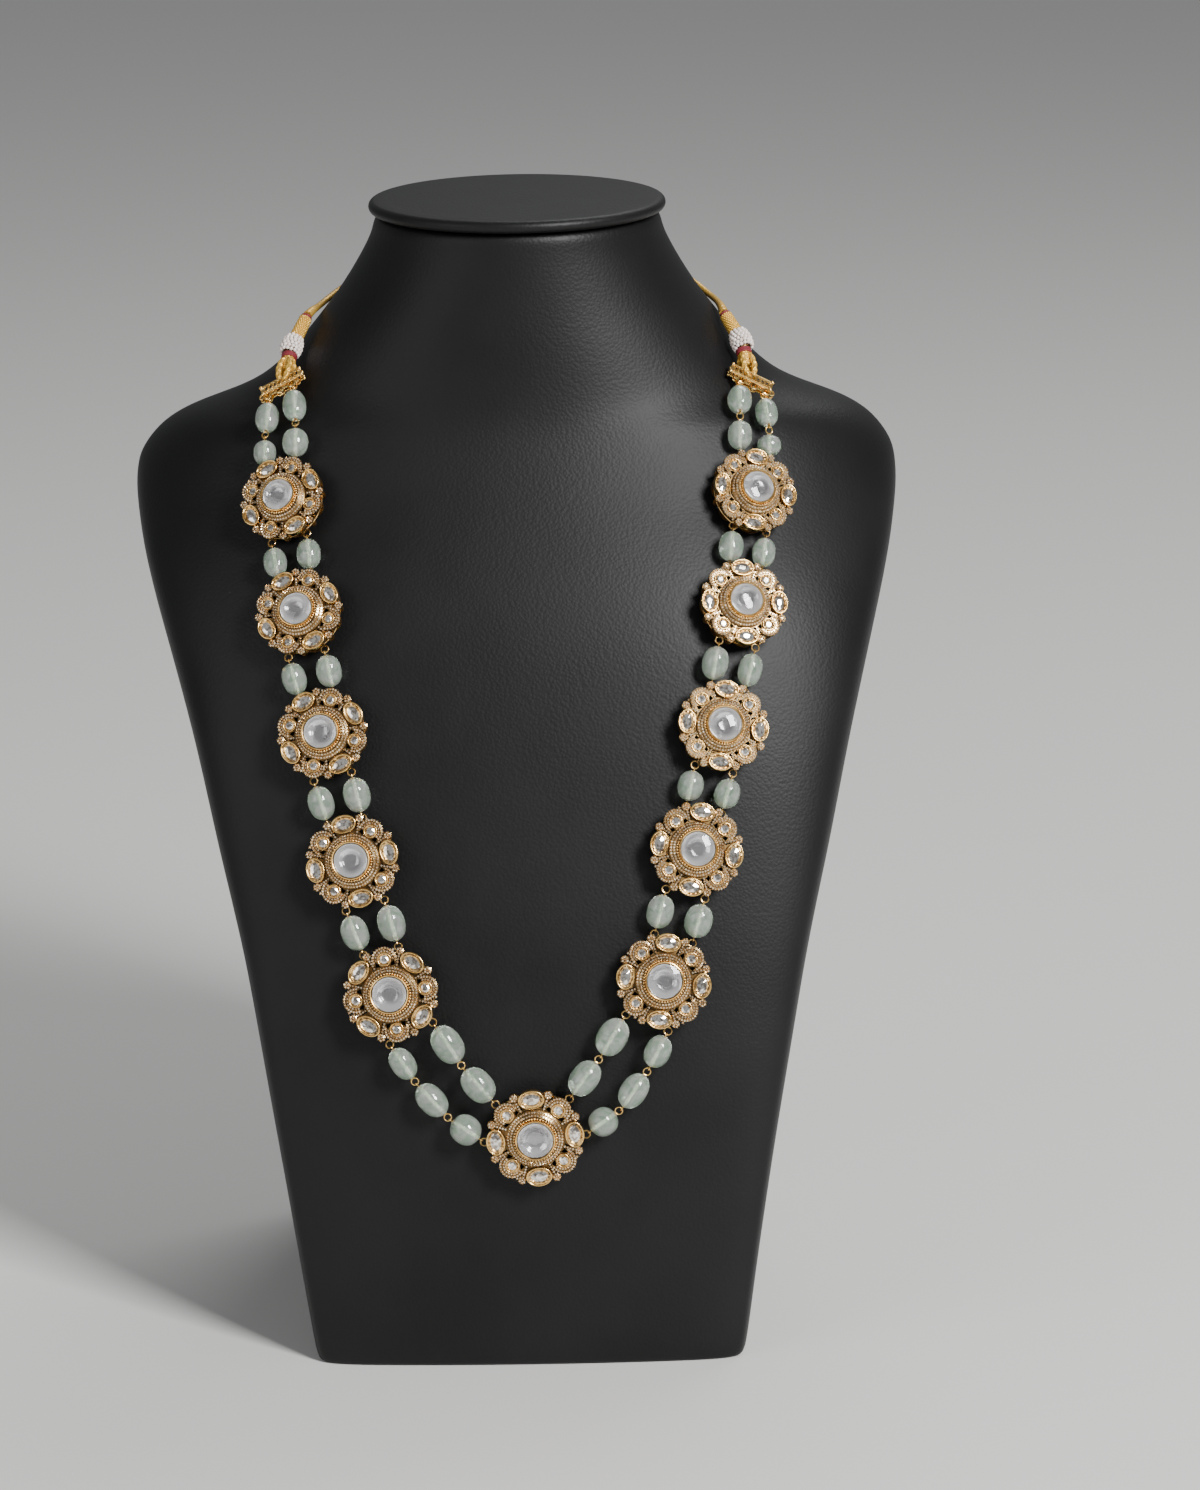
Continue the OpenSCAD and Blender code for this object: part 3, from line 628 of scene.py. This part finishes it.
# Stone places on a medallion of radius r, as rows of (x, y, height, tilt x, tilt y): two rings on the
# centre's slope, then round each petal two lines with a seven-stone cluster at their end, and three arcs
def stonePlaces(r):
    s, v = medallionShape, paveShape
    rows = []

    def addRow(at, height, tilt):
        rows.append(np.concatenate([at, np.full((len(at), 1), height), tilt], 1))

    def addArc(middle, radius, height, tilt, allowed=None, shift=0.0):
        out = onCircle(1.0, anglesOf(max(3, int(round(tau * radius / v["pitchMm"]))), shift))[:, :2]
        at = middle + radius * out
        keep = slice(None) if allowed is None else allowed(at)
        addRow(at[keep], height, (out * tilt)[keep])

    addArc(np.zeros(2), v["centreR"] * r, v["centreTopMm"], v["centreTilt"])
    addArc(np.zeros(2), v["centreR"] * r + v["centreStepMm"], v["centreLowMm"], v["centreTilt"], shift=0.5)
    for k, turn in enumerate(quarter + tau / 8):
        ahead = np.array([math.cos(turn), math.sin(turn)])
        aside = np.array([-ahead[1], ahead[0]])
        for side in (-1, 1):
            leg = turn + side * math.radians(v["legTurn"])
            way = np.array([math.cos(leg), math.sin(leg)])
            cluster = np.concatenate([[[0.0, 0.0]], onCircle(1.0, anglesOf(6) + leg)[:, :2]])
            addRow(way * v["clusterAt"] * r + cluster * v["clusterMm"], s["plateMm"] + v["clusterUpMm"],
                   cluster * v["clusterTilt"])
            reach = np.arange(s["bandR"] * r + v["legFromMm"], v["legTo"] * r, v["pitchMm"])[:, None]
            addRow(reach * way, s["plateMm"] + v["legUpMm"], 0 * reach * way)

        def clear(at):
            gapAhead = (at @ ahead - v["gapAhead"] * r) / v["gapLong"]
            inGap = np.hypot(gapAhead, np.abs(at @ aside) - v["gapAside"] * r) < v["gapMm"]
            return (np.linalg.norm(at, axis=1) > s["bandR"] * r + v["bandMm"]) & ~inGap

        def clearInside(at):
            return clear(at) & (np.linalg.norm(at, axis=1) < v["edge"] * r)

        def addRound(row, radius, face, allowed, shift):
            past, above, tilt = v[row]
            addArc(ahead * s["petalAt"] * r, s[radius] * r + past, s[face] + above, tilt, allowed, shift)

        addRound("petalRow", "petalR", "petalMm", clear, k * v["rowShift"])
        addRound("innerRow", "roundR", "petalMm", clear, 0.2)
        addRound("edgeRow", "petalR", "plateMm", clearInside, k * v["rowShift"])
    return apart(clearOfOvals(np.concatenate(rows), r), v["near"] * v["pitchMm"])


# Drops places that fall on an oval setting
def clearOfOvals(places, r):
    s, off = medallionShape, paveShape["ovalMm"]
    keep = np.ones(len(places), bool)
    for turn in quarter:
        across = places[:, 0] * math.cos(turn) + places[:, 1] * math.sin(turn) - s["ovalAt"] * r
        along = -places[:, 0] * math.sin(turn) + places[:, 1] * math.cos(turn)
        keep &= np.hypot(across / (s["ovalAcross"] * r + off), along / (s["ovalAlong"] * r + off)) > 1
    return places[keep]


# Keeps each place that is at least the given distance from all kept before it
def apart(places, distance):
    kept = []
    for place in places:
        if all(math.hypot(place[0] - q[0], place[1] - q[1]) > distance for q in kept):
            kept.append(place)
    return np.array(kept)


# Small brilliant: eight crown facets and a table
def brilliant(radius, height):
    return revolve([(radius, 0), (radius * 0.55, height)], 8)


# Small ball with flattened poles
def domedBall(radius, sides=10, rings=7):
    a = np.linspace(-0.42, 0.42, rings) * math.pi
    return revolve(np.stack([radius * np.cos(a), radius * np.sin(a)], -1), sides)


# Low grain of metal with five sides
def domedGrain(radius):
    return revolve([(radius, -radius * 0.4), (radius * 0.68, radius * 0.7)], 5)


# Rim of a tube setting: outer wall, rounded lip and an inner wall that slopes down to the stone
def tubeRim(low, top, lip, slope, floor):
    t = np.linspace(0, math.pi, 7)
    arc = np.stack([-lip + lip * np.cos(t), top - lip + lip * np.sin(t)], -1)
    return np.concatenate([[(0.02, low)], arc, [(-slope, floor), (-slope, floor - 0.25), (-lip, low)]])


# A cut stone on an oval plan: girdle, a belt of facets, and a table, each level turned half a facet
def cutStone(across, along, low, height, sides, table):
    levels = [(0.97, low), (1.0, low + 0.12 * height), (0.8, low + 0.62 * height), (table, low + height)]
    rings = [onOval(across * share, along * share, anglesOf(sides, 0.5 * max(0, k - 1)), z)
             for k, (share, z) in enumerate(levels)]
    return closedSkin(np.array(rings), (0, 0, low), (0, 0, low + height))


# Smooth low dome: low + edge + rise (1 - share of radius ^ 2.2), over a short upright edge
def dome(radius, low, edge, rise, sides=48):
    share = np.linspace(1, 0.04, 13)
    crown = np.stack([radius * share, low + edge + rise * (1 - share ** 2.2)], -1)
    return revolve(np.concatenate([[(radius, low)], crown]), sides)


# Foil in the cup under the round stone: share of the stone's radius, heights and depths in millimetres. Its
# painted reflection is a dark spot that lies off the middle by darkOff of the radius and fades over darkRun
# from darkR.
foilShape = {"share": 0.98, "low": 9.7, "depth": 1.3, "step": 0.14, "stepAt": 0.5, "stepSharp": 40,
             "under": 0.5, "darkOff": 0.12, "darkR": 0.42, "darkRun": 0.3, "rows": 20, "sides": 48}


# It falls by depth (1 - share of radius ^ 3), with one small step, and is closed below
def foilCup(stoneR):
    f = foilShape
    radius, share = stoneR * f["share"], np.linspace(1, 0.04, f["rows"])
    step = f["step"] / (1 + np.exp((share - f["stepAt"]) * f["stepSharp"]))
    inner = np.stack([radius * share, f["low"] - f["depth"] * (1 - share ** 3) - step], -1)
    edge = (radius, f["low"] - f["depth"] - f["under"])
    points, faces = revolve(np.concatenate([[edge], inner]), f["sides"])
    # Painted reflection: 0 in the dark spot, rising to 1 towards the bright rim
    away = np.hypot(points[:, 0], points[:, 1] + radius * f["darkOff"]) / radius
    return points, faces, np.clip((away - f["darkR"]) / f["darkRun"], 0, 1)


# "at" is a share of the medallion's radius, the rest is in millimetres
galleryShape = {"at": 0.885, "arches": 24, "archSteps": 8, "base": 0.9, "rise": 3.1, "wire": 0.36,
                "steps": 96}


# Chain of wire scallops round the gallery: z = base + rise |sin(n t / 2)| ^ 0.8, and a wire ring under it
def gallery(r):
    s = galleryShape
    at, t = s["at"] * r, anglesOf(s["arches"] * s["archSteps"])
    arch = onCircle(at, t, s["base"] + s["rise"] * np.abs(np.sin(s["arches"] * t / 2)) ** 0.8)
    return [sweep(arch, wire(s["wire"], 6), onCircle(1.0, t), True),
            wireRing(at, at, s["steps"], s["wire"], 6, s["base"])]


# The small stones, their seats and three prongs each, leaning as the place says and turned unevenly
def setStones(r):
    v = paveShape
    places = stonePlaces(r)
    at = places[:, :3]
    normal = unit(np.concatenate([places[:, 3:], np.ones((len(places), 1))], 1))
    own = axesFrom(normal, onCircle(1.0, places[:, 0] * 7.3 + places[:, 1] * 3.1))
    stones = scatter(brilliant(v["stoneMm"], v["crownMm"]), at + v["proudMm"] * normal, own)
    seats = scatter(revolve(v["seatMm"], 6), at, own)
    prong = onCircle(v["prongAtMm"], anglesOf(3, 0.5), v["prongUpMm"])
    prongAt = (at[:, None] + np.einsum("pk,nkj->npj", prong, own)).reshape(-1, 3)
    return stones, [seats, scatter(domedGrain(v["prongMm"]), prongAt, np.repeat(own, 3, 0))]


# Balls side by side round the centre's rim
def grainRing(r):
    v = paveShape
    reach = v["grainAt"] * r
    ball = domedBall(reach * tau / v["grains"] / 2 * v["grainFill"], 8, 5)
    return scatter(ball, onCircle(reach, anglesOf(v["grains"]), v["grainUpMm"]), np.eye(3))


# Rims and stones of the settings, in millimetres. The centre's rim is (offset, height) pairs, a tube is the
# arguments of tubeRim, and a cut is the arguments of cutStone after the two half axes.
settingShape = {
    "centreRim": [(0.0, 8.95), (0.0, 10.25), (-0.1, 10.45), (-0.3, 10.52), (-0.55, 10.42), (-0.66, 10.2),
                  (-0.72, 9.6), (-0.5, 8.95)],
    "centreOut": 0.06, "centreSteps": 96,
    "ovalTube": (5.0, 7.05, 0.34, 1.25, 5.75), "ovalSteps": 40, "ovalCut": (5.6, 0.85, 12, 0.36),
    "roundTube": (5.0, 6.8, 0.26, 0.85, 5.95), "roundSteps": 28, "roundCut": (5.85, 0.75, 8, 0.5),
    "ovalIn": 1.2, "roundOut": 0.05, "roundIn": 0.7, "dome": (8.2, 1.85, 1.0),
}


# Adds a medallion's metal and small stones, and gives back its cut stones, round stone and foil
def makeMedallion(name, r, origin, axes):
    s, c = medallionShape, settingShape
    stones, metal = setStones(r)
    metal += [grainRing(r)] + gallery(r)
    centreR, across, along = s["centreR"] * r + c["centreOut"], s["ovalAcross"] * r, s["ovalAlong"] * r
    small = s["roundR"] * r + c["roundOut"]
    rims, jewels = [sweepOval(c["centreRim"], centreR, centreR, c["centreSteps"])], []
    ovalRim = sweepOval(tubeRim(*c["ovalTube"]), across, along, c["ovalSteps"])
    roundRim = sweepOval(tubeRim(*c["roundTube"]), small, small, c["roundSteps"])
    oval = cutStone(across - c["ovalIn"], along - c["ovalIn"], *c["ovalCut"])
    spark = cutStone(small - c["roundIn"], small - c["roundIn"], *c["roundCut"])
    for turn in quarter:
        for parts, away, at in (((ovalRim, oval), turn, s["ovalAt"]),
                                ((roundRim, spark), turn + tau / 8, s["petalAt"])):
            own = axesFrom((0, 0, 1), (math.cos(away), math.sin(away), 0))
            rims.append(placed(parts[0], own[0] * at * r, own))
            jewels.append(placed(parts[1], own[0] * at * r, own))

    def put(*parts):
        return [placed(part, origin, axes) for part in parts]

    # The medallion node takes the shadowed gilt: painted shade in the gaps between the stones set on it
    nodes[name].data.materials.clear()
    nodes[name].data.materials.append(paintedShadeGilt)
    label = name.replace("medallion_", "")
    addPiece("settings_" + label, put(*metal), gilt)
    addPiece("tubeRims_" + label, put(*rims), polish)
    addPiece("pave_" + label, put(stones), sparkle, sharp=10)
    stoneR = s["stoneR"] * r
    return put(*jewels), put(dome(stoneR, *c["dome"])), put(foilCup(stoneR))


jewels, domes, foils = (sum(parts, []) for parts in zip(*[makeMedallion(*m) for m in medallions]))
addPiece("cutStones", jewels, facet, ("oval_stones", "round_stones"), 10)
addPiece("roundStones", domes, crystal, ("centre_stones",), 60)
addPiece("stoneFoils", foils, foil, (), 60)
print("medallions made")

# Beads and their pins

# Places in millimetres: bar, barrel and cord from that end, rise of the bar in degrees, rings along it
ends = [
    {"side": "Left", "bar": (-95.5, 16, 377.5), "barrel": (-92, 30.5, 390), "route": cordShape["route"],
     "rise": 27, "rings": (3.6, -7.4)},
    {"side": "Right", "bar": (93.5, 16, 376.5), "barrel": (90, 28.5, 390), "route": cordShape["route"][::-1],
     "rise": -27, "rings": (-3.4, 7.6)},
]

# In millimetres; the mouth and bore are radii, and uneven is a share of the bead's own radius
beadShape = {
    "sides": 40, "rows": 27, "boreRows": 6, "mouth": 1.1, "bore": 0.58, "uneven": 0.012,
    "endShare": 0.995, "round": 2.3, "full": 0.47, "boreIn": 0.015,
}


# A tumbled oval: r = R (1 - |s|^round)^full (1 + uneven waves), s from -1 to 1 along it, and a hole through
def makeBead(name, number, axis):
    s = beadShape
    solid = nodeSolids(name)[0]
    centre = mainAxes(solid)[0]
    run = (solid[0] - centre) @ axis
    start, length = centre + axis * run.min(), run.max() - run.min()
    radius = np.linalg.norm(solid[0] - centre - run[:, None] * axis, axis=1).max()
    share = np.sin(np.linspace(-1, 1, s["rows"]) * math.pi / 2)
    outer = np.maximum(s["mouth"], radius * (1 - np.abs(share * s["endShare"]) ** s["round"]) ** s["full"])
    inner = np.linspace(1 - s["boreIn"], s["boreIn"], s["boreRows"])
    z = np.concatenate([(1 + share) / 2, inner])[:, None] * length
    r = np.concatenate([outer, np.full(s["boreRows"], s["bore"])])[:, None]
    t = anglesOf(s["sides"])
    wave = np.cos(2 * t + number) + 0.6 * np.cos(3 * t + 2.1 * number + 3 * z / length)
    bulge = 1 + s["uneven"] * wave * (r > s["mouth"])
    faces = gridFaces(len(z), s["sides"], True, True)
    inBore = (np.arange(len(z)) >= s["rows"] - 1).repeat(s["sides"])
    skin = onCircle(r * bulge, t, z).reshape(-1, 3), [faces]
    addPiece(name.replace("bead_", "bead"), [placed(skin, start, axesFrom(axis, (0, -1, 0)))], greenStone,
             (name,), 50, (channel, inBore))
    return start


# In millimetres; an eye reaches no further than eyeDepth along the pin, and one wider than wideFrom is large
pinShape = {"wire": 0.26, "shank": 0.24, "smallEye": 0.7, "largeEye": 1.45, "wideFrom": 1.4, "eyeDepth": 1.6,
            "eyeSteps": 32, "ringR": 1.5, "ringWire": 0.3, "ringSteps": 28, "joined": 2, "barReach": 14}


# A pin's eye: its middle, the direction that it is wide in and its radius to the wire's middle
def readEye(points, start, axis, last):
    s = pinShape
    run = (points - start) @ axis
    edge = run.max() if last else run.min()
    near = points[np.abs(run - edge) < s["eyeDepth"]]
    off = (near - start) - ((near - start) @ axis)[:, None] * axis
    wide = off[np.argmax(np.linalg.norm(off, axis=1))]
    reach = np.linalg.norm(wide)
    mean = s["largeEye"] if reach > s["wideFrom"] else s["smallEye"]
    return start + axis * (edge - (1 if last else -1) * (mean + s["wire"])), wide / reach, mean


# The solder ring that an eye hangs in, in the plane of the nearest medallion
def solderRing(eye, away):
    s = pinShape
    axes = min(medallions, key=lambda m: np.linalg.norm(m[2] - eye))[3]
    across = unit(away - axes[2] * (away @ axes[2]))
    ring = wireRing(s["ringR"], s["ringR"], s["ringSteps"], s["ringWire"], 7)
    return placed(ring, eye - across * s["ringR"], axesFrom(axes[2], across))


# Every bead with its pin. An eye that hooks neither another pin nor a bar has a solder ring.
def makePins():
    s = pinShape
    solids = nodeSolids("bead_pins")
    middles = np.array([(solid[0].min(0) + solid[0].max(0)) / 2 for solid in solids])
    parts, small, large = [], [], []
    for number, name in enumerate(sorted(n for n in nodes if n.startswith("bead_") and n != "bead_pins")):
        low, high = nodeBox(name)
        pin = solids[int(np.argmin(np.linalg.norm(middles - (low + high) / 2, axis=1)))]
        axis = mainAxes(pin)[1][0]
        start = makeBead(name, number, axis)
        eyes = [readEye(pin[0], start, axis, last) for last in (False, True)]
        for centre, wide, mean in eyes:
            parts.append(placed(wireRing(mean, mean, s["eyeSteps"], s["wire"]), centre,
                                axesFrom(np.cross(axis, wide), axis)))
            large += [centre] if mean > 1 else []
        small += [(eyes[0][0], axis)] + ([(eyes[1][0], -axis)] if eyes[1][2] < 1 else [])
        first, final = eyes[0][0] + axis * eyes[0][2], eyes[1][0] - axis * eyes[1][2]
        parts.append(sweep(first + (final - first) * np.linspace(0, 1, 12)[:, None], wire(s["shank"]),
                           (0.3, 0, 1)))
    addPiece("beadPins", parts, giltWire, ("bead_pins",))
    bars = [np.array(end["bar"], float) for end in ends]
    free = [(eye, away) for eye, away in small
            if min(np.linalg.norm(eye - other) for other in large) > s["joined"] and
            min(np.linalg.norm(eye - other) for other in bars) > s["barReach"]]
    addPiece("solderRings", [solderRing(*ring) for ring in free], giltWire)


makePins()
print("beads made")

# The two ends: bars, thread, pearls and bindings

# In millimetres, along, across and through the bar, with the link's half axes as shares of its pitch and of
# the bar's rise. A loop is its half axes, steps, wire radius and sides.
barShape = {
    "half": 8.8, "rise": 1.9, "depth": 1.3, "rail": 0.42, "endBall": 0.85, "inset": 0.9, "links": 8,
    "linkAlong": 0.42, "linkAcross": 0.72, "linkOut": 0.12, "linkWire": 0.4, "rung": 0.3, "post": 0.24,
    "wrapAt": 0.35, "wrapStep": 0.55, "wrapOut": 0.35, "wrapWire": 0.32,
    "hangZ": 0.85, "hangAt": 1.5, "hang": (1.6, 1.75, 24, 0.46, 7), "grainZ": 0.6, "grainAt": 3.3,
    "grain": 0.6, "sideX": 2.3, "sideAt": 0.9, "side": (0.95, 1.05, 16, 0.4, 6),
    "ringAt": 5.1, "ring": (1.5, 1.5, 32, 0.28, 8), "stem": 0.36,
}


# Places and axes of an end: of its bar, and of its thread below, at and above the barrel
def endFrames(end):
    bar, barrel, cord = (np.array(v, float) for v in (end["bar"], end["barrel"], end["route"][0]))
    rise = math.radians(end["rise"])
    x = np.array([math.cos(rise), 0, math.sin(rise)])
    up = barrel - bar
    y = unit(up - x * (up @ x))
    barAxes = np.stack([x, y, np.cross(x, y)])
    lower, upper = unit(up), unit(cord - barrel)
    thread = [axesFrom(way, np.cross(barAxes[2], way)) for way in (lower, lower + upper, upper)]
    return bar, barAxes, barrel, cord, thread


# Straight wire from a to b
def rod(a, b, radius):
    level = abs(b[2] - a[2]) < 0.1
    return sweep(np.linspace(a, b, 6), wire(radius), (0.1, 0.2, 1) if level else (0, 1, 0))


# Openwork bar: four rails, a row of oval wire links on the front and the back, ladder wires between them,
# wrapped ends, a row of hanging loops with a grain on each, and the two rings for the beads
def makeBar(end):
    s = barShape
    bar, axes = endFrames(end)[:2]
    half, rise, depth = s["half"], s["rise"], s["depth"]
    parts = []

    def put(part, x, y, z, turned=np.eye(3)):
        parts.append(placed(part, np.array([x, y, z]), turned))

    for y in (-rise, rise):
        for z in (-depth, depth):
            parts.append(rod((-half, y, z), (half, y, z), s["rail"]))
            for x in (-half, half):
                put(domedBall(s["endBall"]), x, y, z)
    pitch = 2 * (half - s["inset"]) / s["links"]
    link = wireRing(pitch * s["linkAlong"], rise * s["linkAcross"], 20, s["linkWire"], 6)
    for k in range(s["links"]):
        for z in (-depth, depth):
            put(link, -half + s["inset"] + pitch * (k + 0.5), 0, z + s["linkOut"] * np.sign(z))
    for k in range(s["links"] + 1):
        x = -half + s["inset"] + pitch * k
        for y in (-rise, rise):
            parts.append(rod((x, y, -depth), (x, y, depth), s["rung"]))
        for z in (-depth, depth):
            parts.append(rod((x, -rise, z), (x, rise, z), s["post"]))
    wrap = wireRing(rise + s["wrapOut"], depth + s["wrapOut"], 28, s["wrapWire"], 6)
    for x in (-half + s["wrapAt"], half - s["wrapAt"]):
        for shift in (-s["wrapStep"], 0, s["wrapStep"]):
            put(wrap, x + shift, 0, 0, axesFrom((1, 0, 0), (0, 1, 0)))
    for x in (min(end["rings"]), sum(end["rings"]) / 2, max(end["rings"])):
        for z in (-s["hangZ"], s["hangZ"]):
            put(wireRing(*s["hang"]), x, -rise - s["hangAt"], z)
            put(domedBall(s["grain"]), x, -rise - s["grainAt"], z * s["grainZ"])
            for side in (-s["sideX"], s["sideX"]):
                put(wireRing(*s["side"]), x + side, -rise - s["sideAt"], z)
    for x in end["rings"]:
        put(wireRing(*s["ring"]), x, -s["ringAt"], 0)
        parts.append(rod((x, s["ring"][0] - s["ringAt"], 0), (x, -rise, 0), s["stem"]))
    addPiece("spacerBar" + end["side"], [placed(part, bar, axes) for part in parts], giltWire,
             ("spacer_bar_" + end["side"].lower(),))


# Wound thread on a tapering core: r = core + lift |sin(pi z / pitch) cos(knots a / 2)|, with the knots of
# every other turn moved half a knot round; with no knots the turns are plain
def winding(low, high, firstR, lastR, pitch, lift, knots=0, sides=56):
    turns = max(1, round((high - low) / pitch))
    z = np.linspace(low, high, turns * 7 + 1)[:, None]
    turn = (z - low) / (high - low) * turns
    a = anglesOf(sides)[None]
    core = firstR + (lastR - firstR) * (z - low) / (high - low)
    hump = np.abs(np.sin(math.pi * turn)) ** 0.7
    knot = np.abs(np.cos(knots * a / 2 + math.pi / 2 * (np.floor(turn) % 2))) ** 0.6 if knots else 1.0
    return closedSkin(onCircle(core + lift * (hump * knot - 0.5), a, z), (0, 0, low), (0, 0, high))


# In millimetres. A winding is its first and last radius, pitch, lift and, if it has them, knots and sides.
# Its ends are offsets: from the barrel's foot for the knot and low band, from the barrel's head and the
# cord's start for the binding, and from the cord's start for the high band.
threadShape = {
    "barrelHalf": 4.8, "pearl": 0.81, "pearlFill": 0.98, "rows": 6, "rowStep": 1.43, "barrelR": 3.95,
    "core": [(2.2, -4.4), (2.9, -2.4), (3.0, 2.0), (2.2, 4.4)],
    "dropLow": 0.8, "dropShort": 2.2, "dropIn": 0.9, "dropOut": 1.35, "dropDeep": 1.9, "dropSteps": 110,
    "strand": (1.15, 3, 3.0, 0.34, 18), "sleeveR": 1.95, "sleeveEnd": 0.04, "sleeveSteps": 46,
    "knot": (1.4, 2.3, 0.9, 0.3, 10), "knotTo": -1.4, "binding": (2.8, 2.5, 0.85, 0.42, 15, 90),
    "bindingAt": (-0.5, -1.5), "lowBand": (3.0, 3.05, 0.66, 0.35), "lowAt": (-1.8, 0.2),
    "highBand": (2.25, 2.1, 0.6, 0.3), "highAt": (-1.6, -0.4), "clear": 0.1,
}


# Two braided strands bent to a drop, x = in + out sin(pi (1 - cos t) / 2) ^ 0.8, one on each side
def threadDrop(far):
    s = threadShape
    t = anglesOf(s["dropSteps"])
    tall = (far - s["dropShort"]) / 2
    strands = []
    for side in (-1, 1):
        x = side * (s["dropIn"] + s["dropOut"] * np.sin(math.pi * (1 - np.cos(t)) / 2) ** 0.8)
        path = np.stack([x, s["dropDeep"] * np.sin(t), s["dropLow"] + tall - tall * np.cos(t)], -1)
        strands.append(braid(path, *s["strand"], up=(1, 0, 0), closed=True))
    return strands, s["dropLow"] + tall


# Rings of seed pearls round the barrel, a little uneven in height and size
def pearlRows():
    s = threadShape
    parts = []
    for row in range(s["rows"]):
        z = (row - (s["rows"] - 1) / 2) * s["rowStep"]
        reach = s["barrelR"] - 0.045 * z * z - 0.07 * z
        a = anglesOf(int(tau * reach / (2 * s["pearl"] * s["pearlFill"])), 0.5 * (row % 2))
        size = s["pearl"] * (1 + 0.05 * np.sin(a * 9 + row * 2))
        at = onCircle(reach, a, z + 0.12 * np.sin(5 * a + row))
        parts.append(scatter(domedBall(1.0, 12), at, np.eye(3), size))
    return parts


# The strands knotted below the barrel with a wound band above them, the binding above the barrel with its
# own band, and a braided sleeve that tapers from the binding to the cord's thickness
def makeThread():
    s = threadShape
    gold, maroon, pearls, cores, bound = [], [], [], [], []
    for end in ends:
        bar, _, barrel, cord, (lowAxes, midAxes, highAxes) = endFrames(end)
        far = np.linalg.norm(barrel - bar) - s["barrelHalf"] - s["clear"]
        strands, knotAt = threadDrop(far)
        strands.append(winding(knotAt, far + s["knotTo"], *s["knot"]))
        gold += [placed(part, bar, lowAxes) for part in strands]
        low, high = far + np.array(s["lowAt"])
        maroon.append(placed(winding(low, high, *s["lowBand"]), bar, lowAxes))
        length = np.linalg.norm(cord - barrel)
        low, high = np.array([s["barrelHalf"], length]) + s["bindingAt"]
        bound.append(placed(winding(low, high, *s["binding"]), barrel, highAxes))
        low, high = length + np.array(s["highAt"])
        maroon.append(placed(winding(low, high, *s["highBand"]), barrel, highAxes))
        start = smoothPath(end["route"], cordShape["steps"])[:s["sleeveSteps"]]
        thick = np.linspace(s["sleeveR"], cordShape["radius"] + s["sleeveEnd"], len(start))[:, None]
        bound.append(braid(start, thick, 6, cordShape["twist"], 0.07, 20))
        cores.append(placed(revolve(s["core"], 40), barrel, midAxes))
        pearls += [placed(row, barrel, midAxes) for row in pearlRows()]
    addPiece("threadLoops", gold, goldThread, ("thread_loops",), 80)
    addPiece("threadBands", maroon, maroonThread, (), 80)
    addPiece("seedPearls", pearls, pearl, ("pearl_barrels",), 80)
    # The cores show between the pearls; their shadowed gilt is painted shade there
    addPiece("pearlCores", cores, paintedShadeGilt, (), 60)
    addPiece("cordBindings", bound, goldThread, ("cord_bindings",), 80)


for end in ends:
    makeBar(end)
makeThread()
print("ends made")


# Floor and light

# The floor's half side and the lights' places and sizes are in metres
stageShape = {"half": 14.0, "tone": (0.78, 0.77, 0.75), "roughness": 0.7}
lightTarget = (0.0, -0.05, 0.26)
lights = {
    "key": {"place": (1.5, -1.9, 1.9), "size": (0.65, 1.05), "watts": 125},
    "fill": {"place": (-2.1, -1.7, 1.2), "size": (1.6, 1.6), "watts": 16},
    "back": {"place": (0.6, 1.3, 2.0), "size": (1.4, 0.8), "watts": 16},
}
roomLight = {"colour": (0.95, 0.97, 1.0), "strength": 0.21}


# Wide flat floor, open to all sides
def makeStage():
    h = stageShape["half"]
    mesh = bpy.data.meshes.new("floor")
    mesh.from_pydata([(-h, -h, 0), (h, -h, 0), (h, h, 0), (-h, h, 0)], [], [(0, 1, 2, 3)])
    mesh.materials.append(newFinish("pale_floor", stageShape["tone"], stageShape["roughness"]))
    newObject("floor", mesh)


def makeLights():
    for name, light in lights.items():
        data = bpy.data.lights.new(name, "AREA")
        data.shape = "RECTANGLE"
        data.size, data.size_y = light["size"]
        data.energy = light["watts"]
        lamp = newObject(name, data)
        axes = axesFrom(np.array(light["place"]) - lightTarget, (0, 0, 1))
        turn = Matrix([list(-axes[1]), list(axes[0]), list(axes[2])]).transposed().to_4x4()
        lamp.matrix_world = Matrix.Translation(light["place"]) @ turn
    world = bpy.data.worlds.new("studio")
    world.use_nodes = True
    background = world.node_tree.nodes["Background"]
    background.inputs["Color"].default_value = (*roomLight["colour"], 1)
    background.inputs["Strength"].default_value = roomLight["strength"]
    bpy.context.scene.world = world


makeStage()
makeLights()
